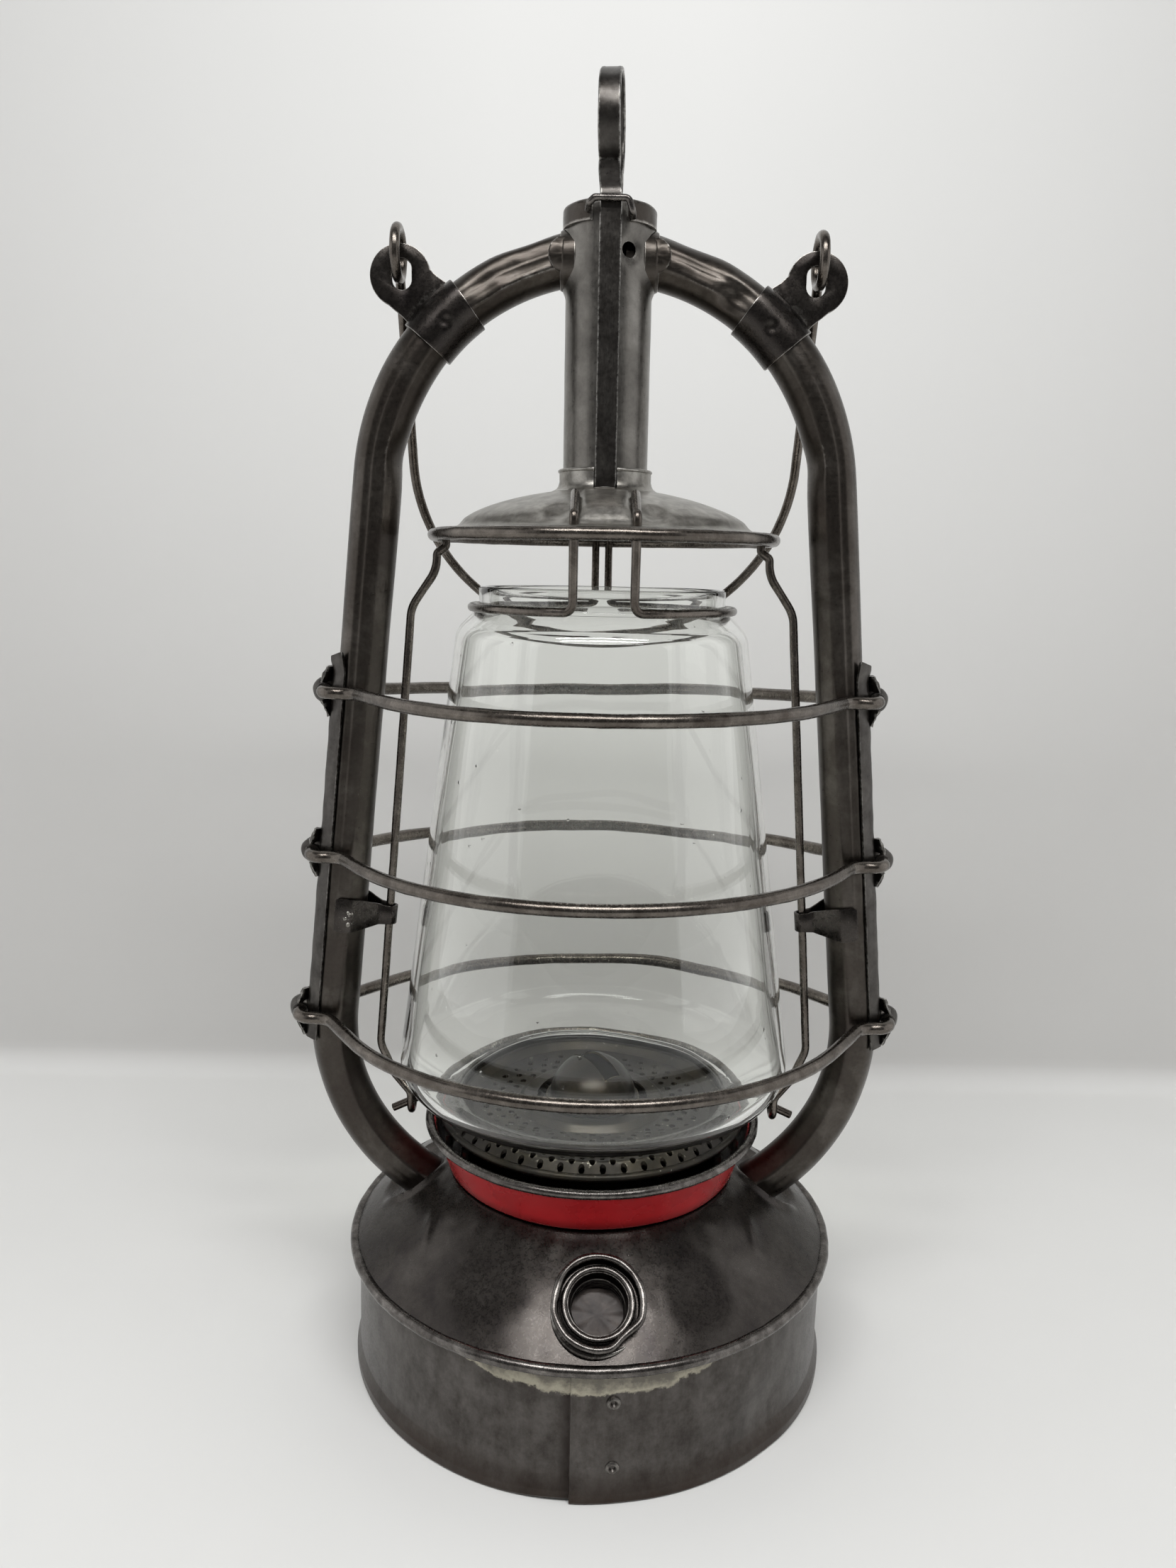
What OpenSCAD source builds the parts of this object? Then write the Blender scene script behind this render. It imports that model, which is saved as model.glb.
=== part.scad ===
// Hot blast lantern with lifting globe, wire guard and swing bail.
// Millimetres, +Z up, origin at the centre of the base, front towards -Y.

/* [Sheet and wire] */
// Thickness of the sheet steel
sheet = 0.8; // [0.6:0.1:1.2]
// Gap left between soldered or seated pieces
fit = 0.2; // [0.1:0.05:0.3]
// Gap left between pieces that move past each other
slack = 0.35; // [0.3:0.05:0.6]
// Radial clearance of a shaft in its bearing
bearing_gap = 0.05; // [0.02:0.01:0.1]

/* [Fount] */
// Radius of the skirt at its foot
skirt_r = 78.3; // [74:0.1:84]
// How far the skirt draws in above its foot
skirt_waist = 1.2; // [0.4:0.1:2]
// Height of the rolled rim above the table
rim_z = 41.6; // [36:0.1:48]
// Thickness of the rolled rim
rim_d = 3.4; // [2.6:0.1:4.2]
// Rise of the dome from the rim to the air chamber
dome_rise = 23.1; // [20:0.1:26]
// Crown of the dome above a straight cone
dome_crown = 1.6; // [0.5:0.1:2.5]
// Height of the tank floor above the table
floor_z = 6; // [4:0.5:9]
// Height of the plate that closes the tank under the air space
tank_top_z = 38; // [34:0.5:38.5]
// Diameter of the two skirt rivets
rivet_d = 4; // [3:0.1:5]

/* [Filler] */
// How far the filler sits inside the skirt
filler_in = 12.8; // [11:0.1:15]
// Lean of the filler towards the front
filler_tilt = 38; // [34:0.5:42]
// Swing of the filler to the right of the front
filler_turn = 2; // [-6:0.5:6]
// Outer diameter of the drip collar
collar_d = 27.5; // [26:0.1:30]
// Height of the drip collar above the dome
collar_h = 5; // [4:0.1:7]
// Outer diameter of the screw plug's lip
plug_d = 21.6; // [20:0.1:22.4]
// Depth of the plug's cup
plug_depth = 9.5; // [7:0.1:11]
// Pitch of the plug's thread
thread_pitch = 2; // [1.5:0.1:2.5]
// Thickness of the plug's gasket
gasket_t = 1.2; // [0.8:0.1:1.6]
// Length of the filler pipe below the dome
pipe_l = 30; // [28:0.5:34]

/* [Air chamber] */
// Radius of the chamber at its foot
chamber_foot_r = 47.6; // [46:0.1:49]
// Radius of the chamber under its bead
chamber_r = 52.3; // [51.5:0.1:54]
// Height of the chamber up to the middle of its bead
chamber_h = 15.9; // [14:0.1:18]
// Thickness of the chamber's bead
bead_d = 2.9; // [2.2:0.1:3.4]

/* [Burner] */
// Radius of the burner cone
cone_r = 14; // [13:0.1:15]
// Height of the burner cone
cone_h = 13; // [11:0.1:15]
// Radius of the burner post
post_r = 17; // [16.4:0.1:18]
// Height of the burner body
body_h = 18; // [17:0.5:20]
// Width of the flat wick
wick_w = 15; // [12:0.5:17]
// Thickness of the wick
wick_t = 2; // [1.5:0.1:2.5]
// Radius of the star wheels
wheel_r = 5; // [4:0.1:5.5]
// Diameter of the wick shaft
shaft_d = 3; // [2.5:0.1:3.5]
// Diameter of the wick knob
knob_d = 15; // [12:0.5:16]
// Turn of the wick and its shaft from the rear to the left
burner_turn = 40; // [30:1:50]

/* [Globe] */
// Outer radius of the globe at its belly
belly_r = 64; // [61:0.1:65]
// Outer radius of the globe at its foot
foot_r = 46; // [44:0.1:47]
// Outer radius at the shoulder
shoulder_r = 45; // [43:0.1:46]
// Outer radius of the neck
neck_r = 37.8; // [36:0.1:39]
// Thickness of the glass
glass_t = 2.6; // [2:0.1:3.2]
// Height of the globe
globe_h = 166; // [162:0.5:168]
// Height of the belly above the foot
belly_h = 9.5; // [8.5:0.1:11]
// Height of the neck
neck_h = 6.8; // [5:0.1:8]
// Height of the shoulder below the neck
shoulder_h = 7.1; // [6:0.1:9]
// Radius of the perforated globe plate
plate_r = 50.5; // [50:0.1:51]
// Height of the plate's crown above its edge
plate_rise = 3.4; // [3:0.1:4]

/* [Bell] */
// Outer radius of the bell's rim
bell_r = 53.4; // [51:0.1:55]
// Thickness of the bell's rolled rim
bell_rim_d = 3.7; // [3:0.1:4.2]
// Radius of the bell's dome
bell_dome_r = 43.7; // [42:0.1:45]
// Height of the bell's dome
bell_dome_h = 12.5; // [10:0.1:15]
// Height of the bell's collar
bell_collar_h = 4; // [3:0.1:6]
// Gap between the globe and the bell
bell_gap = 15; // [12:0.1:18]

/* [Chimney and tubes] */
// Outer diameter of the side tubes
tube_d = 15; // [14:0.1:16]
// How much wider the arch is than the globe's belly
arch_out = 5; // [3:0.1:8]
// Flare of the straight tubes from the vertical
flare = 5.5; // [4.5:0.1:6.5]
// Length of the straight part of a tube
tube_l = 171.3; // [165:0.1:176]
// Radius of the bend above the dome
foot_bend_r = 64.5; // [62:0.1:67]
// Height of that bend's centre above the dome
foot_bend_up = 45.4; // [43:0.1:48]
// Turn of that bend
foot_bend_a = 62; // [60:0.5:65]
// Outer radius of the chimney
chimney_r = 12.7; // [12:0.1:13.5]
// Length of the chimney above the arch
chimney_up = 11.8; // [10:0.1:14]
// Length of the chimney below the arch
chimney_down = 77; // [72:0.5:78]
// Depth of the chimney cap
cap_h = 5.5; // [4.5:0.1:7]
// Diameter of the vent hole in the chimney
vent_d = 3.9; // [3:0.1:5]

/* [Lift ring] */
// Width of the lift strip
strip_w = 6.3; // [5:0.1:7.5]
// Thickness of the lift strip
strip_t = 1; // [0.8:0.1:1.2]
// Outer radius of the ring
ring_r = 14; // [12:0.1:16]
// Gap between the cap and the pinch under the ring
pinch_up = 12; // [10:0.1:14]

/* [Guard] */
// Diameter of the guard wire
hoop_d = 4; // [3:0.1:4.4]
// Height of the low hoop
hoop_low_z = 115.6; // [112:0.1:119]
// Height of the middle hoop
hoop_mid_z = 168.9; // [164:0.1:174]
// Height of the upper hoop
hoop_top_z = 220.4; // [214:0.1:226]
// Gap between the globe and the low hoop
hoop_low_gap = 5.7; // [5:0.1:9]
// Gap between the globe and the middle hoop
hoop_mid_gap = 6.7; // [6.5:0.1:11]
// Gap between the globe and the upper hoop
hoop_top_gap = 14.6; // [12:0.1:18]
// How far the rear hoops dip
hoop_drop = 4.1; // [0:0.1:5]
// Width of the strips that hold the hoops
guard_w = 5.5; // [4.5:0.1:7]

/* [Bail and wires] */
// Diameter of the bail wire
bail_d = 3; // [2.4:0.1:3.4]
// Radius of the bail's eyes
eye_r = 7; // [6.5:0.1:8]
// Length of the bail's straight legs
bail_leg = 63; // [58:0.5:66]
// Angle of the bail behind the vertical at rest
bail_rest = 25; // [25:1:30]
// Place of the bail ears on the arch
ear_a = 46; // [43:0.5:49]
// Radius of the bail ears
ear_r = 8.75; // [8.5:0.05:9.5]
// Diameter of the wire that carries the globe
rod_d = 2.6; // [2:0.1:3]
// Height of the guide clips
guide_z = 149.5; // [147:0.5:156]
// Length of the guide clips along the tube
guide_l = 11; // [8:0.5:13]

/* [Hidden] */
tube_r = tube_d / 2;
arch_r = belly_r + arch_out;
dome_r = skirt_r;
filler_reach = skirt_r - filler_in;
dome_top_z = rim_z + dome_rise;
bead_z = dome_top_z + chamber_h;
bead_r = chamber_r + bead_d / 2;
plate_z = bead_z + bead_d / 2 + slack + 1;
plate_bead_d = 2.4;
crown_z = plate_z + plate_rise;
globe_z = crown_z + sheet / 2 + fit;
globe_top_z = globe_z + globe_h;
neck_z = globe_top_z - neck_h;
shoulder_z = neck_z - shoulder_h;
belly_z = globe_z + belly_h;
bell_z = globe_top_z + bell_gap;
bell_dome_z = bell_z + 3;
bell_top_z = bell_dome_z + bell_dome_h;
foot_bend_z = dome_top_z + foot_bend_up;
foot_bend_x = (arch_r - foot_bend_r) * cos(flare) + tube_l * sin(flare);
tube_low_z = foot_bend_z + foot_bend_r * sin(flare);
arch_z = tube_low_z + tube_l * cos(flare) - arch_r * sin(flare);
arch_end = acos((chimney_r + fit + slack) / (arch_r - tube_r));
chimney_top = arch_z + arch_r + chimney_up;
chimney_foot = arch_z + arch_r - chimney_down;
strap_y = chimney_r + slack + strip_t / 2;
pinch_y = 7;
pinch_z = chimney_top + sheet + pinch_up;
ring_mid_r = ring_r - strip_t / 2;
ring_z = pinch_z + sqrt(pow(ring_mid_r, 2) - pow(pinch_y, 2));
post_z = dome_top_z + 3.6;
body_r = post_r - sheet - fit;
shaft_z = post_z + 6;
shaft_u = wheel_r + wick_t / 2 + slack;
knob_v = chamber_r + 8;
wick_foot = floor_z + 8;
wick_top = post_z + body_h + cone_h - 6;
filler_z = dome_at(filler_reach);
neck_in_r = plug_d / 2 - 1.1;
plug_r = neck_in_r - slack;
collar_r = collar_d / 2;
ear_reach = arch_r + tube_r + fit + sheet + ear_r + 1.5;
ear_x = ear_reach * cos(ear_a);
ear_z = arch_z + ear_reach * sin(ear_a);
bail_x = ear_x + 1;
bail_z = ear_z + eye_r - 1.2;
cradle_r = plate_r + rod_d / 2 + 1.2;
cradle_z = bead_z + bead_d / 2 + rod_d / 2 + slack + 0.9;
rod_eye_r = rod_d + slack + 0.1;
rod_eye_x = cradle_r + 7.2;
rod_eye_z = cradle_z - 1.2;
rod_low_x = belly_r + 2.2;
rod_low_z = belly_z - 4;
rod_knee_x = belly_r + 6.5;
rod_knee_z = belly_z + 6.5;
rod_top_x = bell_r + 5.2;
rod_top_z = bell_z - 16;
bell_rim_r = bell_r - bell_rim_d / 2;
bell_collar_r = chimney_r + slack + sheet / 2;
shoulder_slope = shoulder_h / (shoulder_r - neck_r);
ring_wire_r = neck_r + rod_d / 2 + 1.1;
ring_wire_z = neck_z - (ring_wire_r - neck_r) * shoulder_slope
    + (rod_d / 2 + slack + glass_t / 2) * sqrt(1 + pow(shoulder_slope, 2)) - glass_t / 2 * shoulder_slope;
hook_x = 8.5;
rear_hook_x = 2.2;
waist_r = skirt_r - skirt_waist;
rivet_zs = [11, 31.5];
rivet_turn = 5.2;
top_flange = 4.5;
floor_flange = 5;
hoop_x_gap = tube_r + fit + sheet + fit + hoop_d / 2;
knob_r = hoop_d / 2 + 2.3;
bead_in = 0.9;
lip_d = 1.9;
thread_deep = 0.5;
slot_w = 6.4;
flange_w = 1.5;
flange_l = 8.5;
flange_sunk = 5;
tube_end_gap = 0.8;
flange_z = arch_z + arch_r - 1.4;
vent_turn = 27;
vent_rim = 0.8;
bridge_a = 27;
support_turns = [51, 65, 115, 129];
clip_wrap = 16.4;
strip_below = 8.5;
strip_above = 12.5;
hoop_turn = 58;
hoop_lead = 10.5;
knob_l = 7.4;
wire_sides = 10;
wire_step = 15;
tube_sides = 24;
tube_step = 8;
ear_t = 1.6;
wire_fn = 40;
round_fn = 96;

// Points of a flat arc about c, from angle a to angle b
function arc(c, r, a, b, n = 10) =
    [for (i = [0:n]) c + r * [cos(a + (b - a) * i / n), sin(a + (b - a) * i / n)]];

function unit(v) = v / norm(v);

// Direction across a flat path at point i
function across(p, i) =
    let (a = unit(p[min(i + 1, len(p) - 1)] - p[max(i, 0)] + (i == len(p) - 1 ? p[i] - p[i - 1] : [0, 0])),
         b = i == 0 ? a : unit(p[i] - p[i - 1]),
         m = unit(a + b))
    [-m[1], m[0]] / max(0.4, m * a);

// Outline of a strip of thickness t along a flat path
function strip(p, t) = concat(
    [for (i = [0:len(p) - 1]) p[i] + across(p, i) * t / 2],
    [for (i = [len(p) - 1:-1:0]) p[i] - across(p, i) * t / 2]);

// Sheet metal turned about the Z axis from a path of radius and height
module spun(p, t = sheet) rotate_extrude($fn = round_fn) polygon(strip(p, t));

// Wire ring about the Z axis
module wire_ring(r, d) rotate_extrude($fn = round_fn) translate([r, 0]) circle(d = d, $fn = wire_fn);

// Straight wire between two points
module bar(a, b, d) {
    v = b - a;
    if (norm(v) > 0.01)
        translate(a)
            rotate([0, acos(v[2] / norm(v)), atan2(v[1], v[0])])
                cylinder(d = d, h = norm(v), $fn = wire_fn);
}

// Half angle at corner b, and the distance from the corner to the bend's ends
function half_angle(a, b, c) = acos(unit(a - b) * unit(c - b)) / 2;
function setback(a, b, c, r) = r / tan(half_angle(a, b, c));

// Wire bend of radius r at corner b
module bend(a, b, c, r, d) {
    h = half_angle(a, b, c);
    m = b + unit(unit(a - b) + unit(c - b)) * r / sin(h);
    x = unit(b + unit(a - b) * setback(a, b, c, r) - m);
    z = unit(cross(b - a, c - b));
    y = cross(z, x);
    multmatrix([[x[0], y[0], z[0], m[0]], [x[1], y[1], z[1], m[1]], [x[2], y[2], z[2], m[2]]])
        rotate_extrude(angle = 180 - 2 * h, $fn = round_fn)
            translate([r, 0])
                circle(d = d, $fn = wire_fn);
}

// Wire through the points p, with the bend radii r at its inner points
module bent_wire(p, r, d) {
    n = len(p);
    back = [for (i = [0:n - 1]) i == 0 || i == n - 1 ? 0 : setback(p[i - 1], p[i], p[i + 1], r[i - 1])];
    for (i = [0:n - 2]) {
        w = unit(p[i + 1] - p[i]);
        bar(p[i] + w * back[i], p[i + 1] - w * back[i + 1], d);
    }
    for (i = [1:n - 2])
        bend(p[i - 1], p[i], p[i + 1], r[i - 1], d);
}

// Points along a bend of radius r at corner b, a ring every step degrees
function bend_points(a, b, c, r, step) =
    let (h = half_angle(a, b, c),
         turn = 180 - 2 * h,
         n = ceil(turn / step),
         m = b + unit(unit(a - b) + unit(c - b)) * r / sin(h),
         x = unit(b + unit(a - b) * setback(a, b, c, r) - m),
         y = cross(unit(cross(b - a, c - b)), x))
    [for (i = [0:n]) m + r * (x * cos(turn * i / n) + y * sin(turn * i / n))];

// Middle line through the corners p, with the bend radii r, without doubled points
function bent_path(p, r, step) =
    let (n = len(p),
         bends = [for (i = [1:n - 2]) each bend_points(p[i - 1], p[i], p[i + 1], r[i - 1], step)],
         q = concat([p[0]], bends, [p[n - 1]]))
    [for (i = [0:len(q) - 1]) if (i == 0 || norm(q[i] - q[max(i - 1, 0)]) > 0.05) q[i]];

function heading(q, i) = unit(q[min(i + 1, len(q) - 1)] - q[max(i - 1, 0)]);
function level(u, t) = unit(u - (u * t) * t);

// Wire or hollow tube of many bends, swept along its middle line
module swept(p, r, d, bore = 0, s = wire_sides, step = wire_step) {
    q = bent_path(p, r, step);
    n = len(q);
    t = [for (i = [0:n - 1]) heading(q, i)];
    start = level(abs(t[0][2]) < 0.9 ? [0, 0, 1] : [1, 0, 0], t[0]);
    side = [for (i = 0, u = start; i < n; i = i + 1, u = i < n ? level(u, t[i]) : u) u];
    points = [for (w = bore > 0 ? [d, bore] : [d]) for (i = [0:n - 1]) for (k = [0:s - 1])
        q[i] + w / 2 * (side[i] * cos(360 * k / s) + cross(t[i], side[i]) * sin(360 * k / s))];
    walls = [for (i = [0:n - 2]) for (k = [0:s - 1])
        let (a = i * s + k, b = i * s + (k + 1) % s)
        each [[a, a + s, b + s], [a, b + s, b]]];
    inner = bore > 0 ? [for (f = walls) [f[0] + n * s, f[2] + n * s, f[1] + n * s]] : [];
    last = (n - 1) * s;
    ends = bore > 0
        ? [for (k = [0:s - 1]) let (j = (k + 1) % s)
            each [[k, j, j + n * s], [k, j + n * s, k + n * s], [last + j, last + k, last + k + n * s],
                [last + j, last + k + n * s, last + j + n * s]]]
        : [[for (k = [0:s - 1]) k], [for (k = [s - 1:-1:0]) last + k]];
    polyhedron(points, concat(walls, inner, ends), convexity = 6);
}

// Corners outside a ring of radius r about c, between two angles, one for each of n bends
function ring_corners(c, r, a, b, n, z) =
    let (s = (b - a) / n)
    [for (i = [0:n - 1]) concat(c + r / cos(s / 2) * [cos(a + s * (i + 0.5)), sin(a + s * (i + 0.5))], z)];

// Turns a right piece into a left one
module to_left() mirror([1, 0, 0]) children();

// Height of the dome's middle surface at a radius
function dome_at(r) =
    let (k = (dome_r - r) / (dome_r - chamber_foot_r))
    rim_z + dome_rise * k + dome_crown * 4 * k * (1 - k);

// Outer radius of the globe's cone at a height
function globe_at(z) = belly_r - (belly_r - shoulder_r) * (z - belly_z) / (shoulder_z - belly_z);

// Height of the bell's dome at a distance from the centre line
function bell_at(r) = bell_dome_z
    + bell_dome_h * sqrt(1 - pow((abs(r) - bell_collar_r) / (bell_dome_r - bell_collar_r), 2));

// Distance of a side tube's centre from the centre line at a height
function tube_x(z) = z > tube_low_z
    ? foot_bend_x + foot_bend_r * cos(flare) - (z - tube_low_z) * tan(flare)
    : foot_bend_x + sqrt(pow(foot_bend_r, 2) - pow(foot_bend_z - z, 2));

// Distance of a side rod from the centre line at a height
function rod_x(z) = rod_top_x + (rod_knee_x - rod_top_x) * (rod_top_z - z) / (rod_top_z - rod_knee_z);

// Places children in the filler's frame, with its axis along Z
module at_filler()
    rotate(filler_turn)
        translate([0, -filler_reach, filler_z])
            rotate([filler_tilt, 0, 0])
                children();

// Places children in the burner's frame, with the wick shaft along Y
module at_burner() rotate(burner_turn) children();

module fount_skirt() color("dimgray") difference() {
    union() {
        spun([[skirt_r - sheet / 2, 0], [skirt_r - sheet / 2, 3], [waist_r - sheet / 2, 7],
            [waist_r - sheet / 2, rim_z - rim_d / 2 - fit]]);
        spun([[skirt_r - 1.5 * sheet, 0], [skirt_r - 1.5 * sheet, 4]]);
    }
    for (z = rivet_zs)
        rotate(rivet_turn)
            translate([0, -skirt_r, z])
                rotate([-90, 0, 0])
                    cylinder(d = rivet_d / 2 + 2 * fit, h = 10, $fn = 32);
}

module skirt_rivets() color("gray") {
    for (z = rivet_zs)
        rotate(rivet_turn)
            translate([0, -waist_r, z])
                rotate([90, 0, 0]) {
                    translate([0, 0, -2 * sheet])
                        cylinder(d = rivet_d / 2, h = 3 * sheet, $fn = 32);
                    translate([0, 0, fit])
                        cylinder(d1 = rivet_d, d2 = rivet_d / 2, h = 1, $fn = 32);
                }
}

module fount_bottom() color("dimgray") {
    r = waist_r - 1.5 * sheet - fit;
    spun([[0, floor_z], [r, floor_z], [r, floor_z - floor_flange]]);
}

module tank_top() color("dimgray") difference() {
    r = waist_r - 1.5 * sheet - fit;
    spun([[post_r - 3, tank_top_z], [r, tank_top_z], [r, tank_top_z - top_flange]]);
    at_filler()
        translate([0, 0, -pipe_l - 10])
            cylinder(r = neck_in_r + sheet + fit, h = pipe_l + 10, $fn = round_fn);
}

module fount_dome() color("dimgray") difference() {
    union() {
        translate([0, 0, rim_z])
            wire_ring(dome_r, rim_d);
        spun(concat([for (i = [0:12]) let (r = dome_r + (chamber_foot_r - dome_r) * i / 12) [r, dome_at(r)]],
            [[chamber_foot_r - 4, dome_top_z]]));
    }
    at_filler()
        translate([0, 0, -10])
            cylinder(r = collar_r - bead_in + fit, h = 20, $fn = round_fn);
    tube_bends(tube_d + 2 * fit);
    to_left()
        tube_bends(tube_d + 2 * fit);
}

module filler_funnel() color("gray") at_filler() {
    wall_r = collar_r - bead_in - sheet / 2;
    translate([0, 0, collar_h - 1])
        wire_ring(collar_r - 1, 2);
    spun([[wall_r, collar_h - 1], [wall_r, 0], [neck_in_r + sheet / 2, 0], [neck_in_r + sheet / 2, -pipe_l]]);
}

module filler_gasket() color("saddlebrown") at_filler()
    translate([0, 0, sheet / 2 + bearing_gap])
        difference() {
            cylinder(r = plug_d / 2, h = gasket_t, $fn = round_fn);
            translate([0, 0, -1])
                cylinder(r = neck_in_r, h = gasket_t + 2, $fn = round_fn);
        }

module filler_plug() color("gray") at_filler() {
    lip_z = sheet / 2 + gasket_t + 2 * bearing_gap + lip_d / 2;
    foot = lip_z - plug_depth;
    turns = floor((plug_depth - 3) / thread_pitch);
    crest = plug_r - sheet / 2;
    thread = [for (i = [0:2 * turns]) [crest - (i % 2 == 0 ? 0 : thread_deep), foot + i * thread_pitch / 2]];
    translate([0, 0, lip_z])
        wire_ring(plug_d / 2 - lip_d / 2, lip_d);
    spun(concat([[0, foot], [crest - thread_deep - 1, foot]], thread,
        [[crest, lip_z], [plug_d / 2 - 1, lip_z]]));
}

module air_chamber() color("firebrick") difference() {
    z = dome_top_z + sheet + fit;
    union() {
        spun([[chamber_foot_r - 4, z], [chamber_foot_r - sheet / 2, z],
            [chamber_r - sheet / 2, bead_z - bead_d / 2], [bead_r, bead_z]]);
        translate([0, 0, bead_z])
            wire_ring(bead_r, bead_d);
    }
    at_burner()
        translate([shaft_u, 0, shaft_z])
            rotate([-90, 0, 0])
                cylinder(d = shaft_d + 2 * slack + 1, h = 80, $fn = 32);
}

module plate_supports() color("silver") {
    top = plate_z - plate_bead_d / 2 - slack;
    foot = bead_z - bead_d / 2 - 0.6;
    for (side = [-1, 1])
        for (a = support_turns)
            rotate(side * a)
                translate([0, -(chamber_r - sheet - 1.5), foot])
                    cylinder(d = 2.2, h = top - foot, $fn = 24);
}

module burner_post() color("gray")
    spun([[post_r + 5, tank_top_z + sheet + fit], [post_r - sheet / 2, tank_top_z + sheet + fit],
        [post_r - sheet / 2, post_z]]);

module burner_body() color("darkgoldenrod") difference() {
    union() {
        translate([0, 0, post_z + fit])
            cylinder(r = post_r + 0.6, h = sheet, $fn = round_fn);
        spun([[body_r - sheet / 2, post_z + fit], [body_r - sheet / 2, post_z + body_h]]);
    }
    at_burner() {
        wick_tube_block(fit, 0, post_z - 5, 10);
        translate([shaft_u, -30, shaft_z])
            rotate([-90, 0, 0])
                cylinder(d = shaft_d + 2 * bearing_gap, h = 60, $fn = 48);
    }
}

// Solid block in the shape of the wick tube's outside, grown or shrunk by g and cut at z
module wick_tube_block(g, wall, z, h)
    translate([0, 0, z + h / 2])
        cube([wick_t, wick_w, h] + 2 * (slack + sheet - wall + g) * [1, 1, 0], center = true);

module wick_tube() color("darkgoldenrod") at_burner() {
    z = post_z - 12;
    h = 12 + body_h + 4;
    difference() {
        wick_tube_block(0, 0, z, h);
        wick_tube_block(0, sheet, z - 1, h + 2);
        translate([0, -wick_w / 2, shaft_z - wheel_r - 1])
            cube([10, wick_w, 2 * wheel_r + 2]);
    }
}

module burner_cone() color("gray") difference() {
    z = post_z + body_h + fit + sheet / 2;
    spun(concat([[body_r, z]], [for (a = [0:10:80]) [cone_r * cos(a), z + cone_h * sin(a)]],
        [[cone_r / 10, z + cone_h], [0, z + cone_h]]));
    at_burner()
        translate([-slot_w / 2, -wick_w / 2 - 2.5, z + sheet])
            cube([slot_w, wick_w + 5, 30]);
    at_burner()
        wick_tube_block(fit, 0, z - 5, 10);
}

module wick() color("oldlace") at_burner()
    translate([-wick_t / 2, -wick_w / 2, wick_foot])
        cube([wick_t, wick_w, wick_top - wick_foot]);

module wick_shaft() color("gray") at_burner() translate([shaft_u, 0, shaft_z]) rotate([-90, 0, 0]) {
    translate([0, 0, -body_r - 1])
        cylinder(d = shaft_d, h = body_r + 1 + knob_v + 3, $fn = 48);
    for (y = [-wick_w / 4, wick_w / 4])
        translate([0, 0, y - 1])
            linear_extrude(2)
                polygon([for (i = [0:27]) (i % 2 == 0 ? wheel_r : wheel_r - 0.9)
                    * [cos(i * 180 / 14), sin(i * 180 / 14)]]);
}

module wick_knob() color("dimgray") at_burner() translate([shaft_u, knob_v - 2, shaft_z]) rotate([-90, 0, 0])
    difference() {
        union() {
            cylinder(d = knob_d, h = 4, $fn = 64);
            for (i = [0:17])
                rotate(i * 20)
                    translate([knob_d / 2, 0, 0])
                        cylinder(d = 1.2, h = 4, $fn = 16);
        }
        translate([0, 0, -1])
            cylinder(d = shaft_d + 2 * bearing_gap, h = 6, $fn = 48);
    }

// Ring section of a tube
module tube_section(d, bore) difference() {
    circle(d = d, $fn = round_fn);
    circle(d = bore, $fn = round_fn);
}

// Point in the tubes' plane at an angle about a bend's centre
function around(x, z, r, a) = [x + r * cos(a), 0, z + r * sin(a)];

// Space that a right tube of diameter d takes up in its two bends
module tube_bends(d) {
    translate([0, 0, arch_z])
        rotate([90, 0, 0])
            rotate(flare)
                rotate_extrude(angle = arch_end - flare + tube_end_gap / arch_r * 180 / PI, $fn = round_fn)
                    translate([arch_r, 0])
                        circle(d = d, $fn = round_fn);
    translate([foot_bend_x, 0, foot_bend_z])
        rotate([90, 0, 0])
            rotate(-foot_bend_a)
                rotate_extrude(angle = foot_bend_a + flare, $fn = round_fn)
                    translate([foot_bend_r, 0])
                        circle(d = d, $fn = round_fn);
}

module chimney_block(r) translate([0, 0, chimney_foot - 1])
    cylinder(r = r, h = chimney_top - chimney_foot + 2, $fn = round_fn);

module right_side_tube() color("dimgray")
    swept([around(0, arch_z, arch_r, arch_end),
        around(0, arch_z, arch_r / cos((arch_end - flare) / 2), (arch_end + flare) / 2),
        around(foot_bend_x, foot_bend_z, foot_bend_r / cos((foot_bend_a + flare) / 2),
            (flare - foot_bend_a) / 2),
        around(foot_bend_x, foot_bend_z, foot_bend_r, -foot_bend_a)],
        [arch_r, foot_bend_r], tube_d, tube_d - 2 * sheet, tube_sides, tube_step);

module left_side_tube() to_left() right_side_tube();

module right_tube_flange() color("gray") difference() {
    bore = tube_r - sheet;
    r = tube_r + fit;
    translate([chimney_r - flange_sunk, 0, flange_z])
        rotate([0, 90, 0])
            rotate_extrude($fn = round_fn)
                polygon(concat([[bore, 0], [r + flange_w, 0]],
                    arc([r, flange_l - flange_w], flange_w, 0, 75, 6), [[bore, flange_l]]));
    chimney_block(chimney_r + fit);
    translate([0, 0, chimney_top + sheet / 2 - cap_h])
        cylinder(r = chimney_r + 2 * fit + sheet, h = 2 * cap_h, $fn = round_fn);
    tube_bends(tube_d + 2 * fit);
}

module left_tube_flange() to_left() right_tube_flange();

module chimney() color("gray") {
    difference() {
        translate([0, 0, chimney_foot])
            cylinder(r = chimney_r, h = chimney_top - chimney_foot, $fn = round_fn);
        chimney_block(chimney_r - sheet);
        for (side = [-1, 1])
            translate([0, 0, flange_z])
                rotate([0, side * 90, 0])
                    cylinder(d = tube_d - 2 * sheet - 1, h = 20, $fn = 64);
        at_vent()
            cylinder(d = vent_d, h = 10, center = true, $fn = wire_fn);
    }
    at_vent()
        rotate_extrude($fn = wire_fn)
            translate([vent_d / 2, -0.4])
                square([vent_rim, 1]);
}

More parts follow.
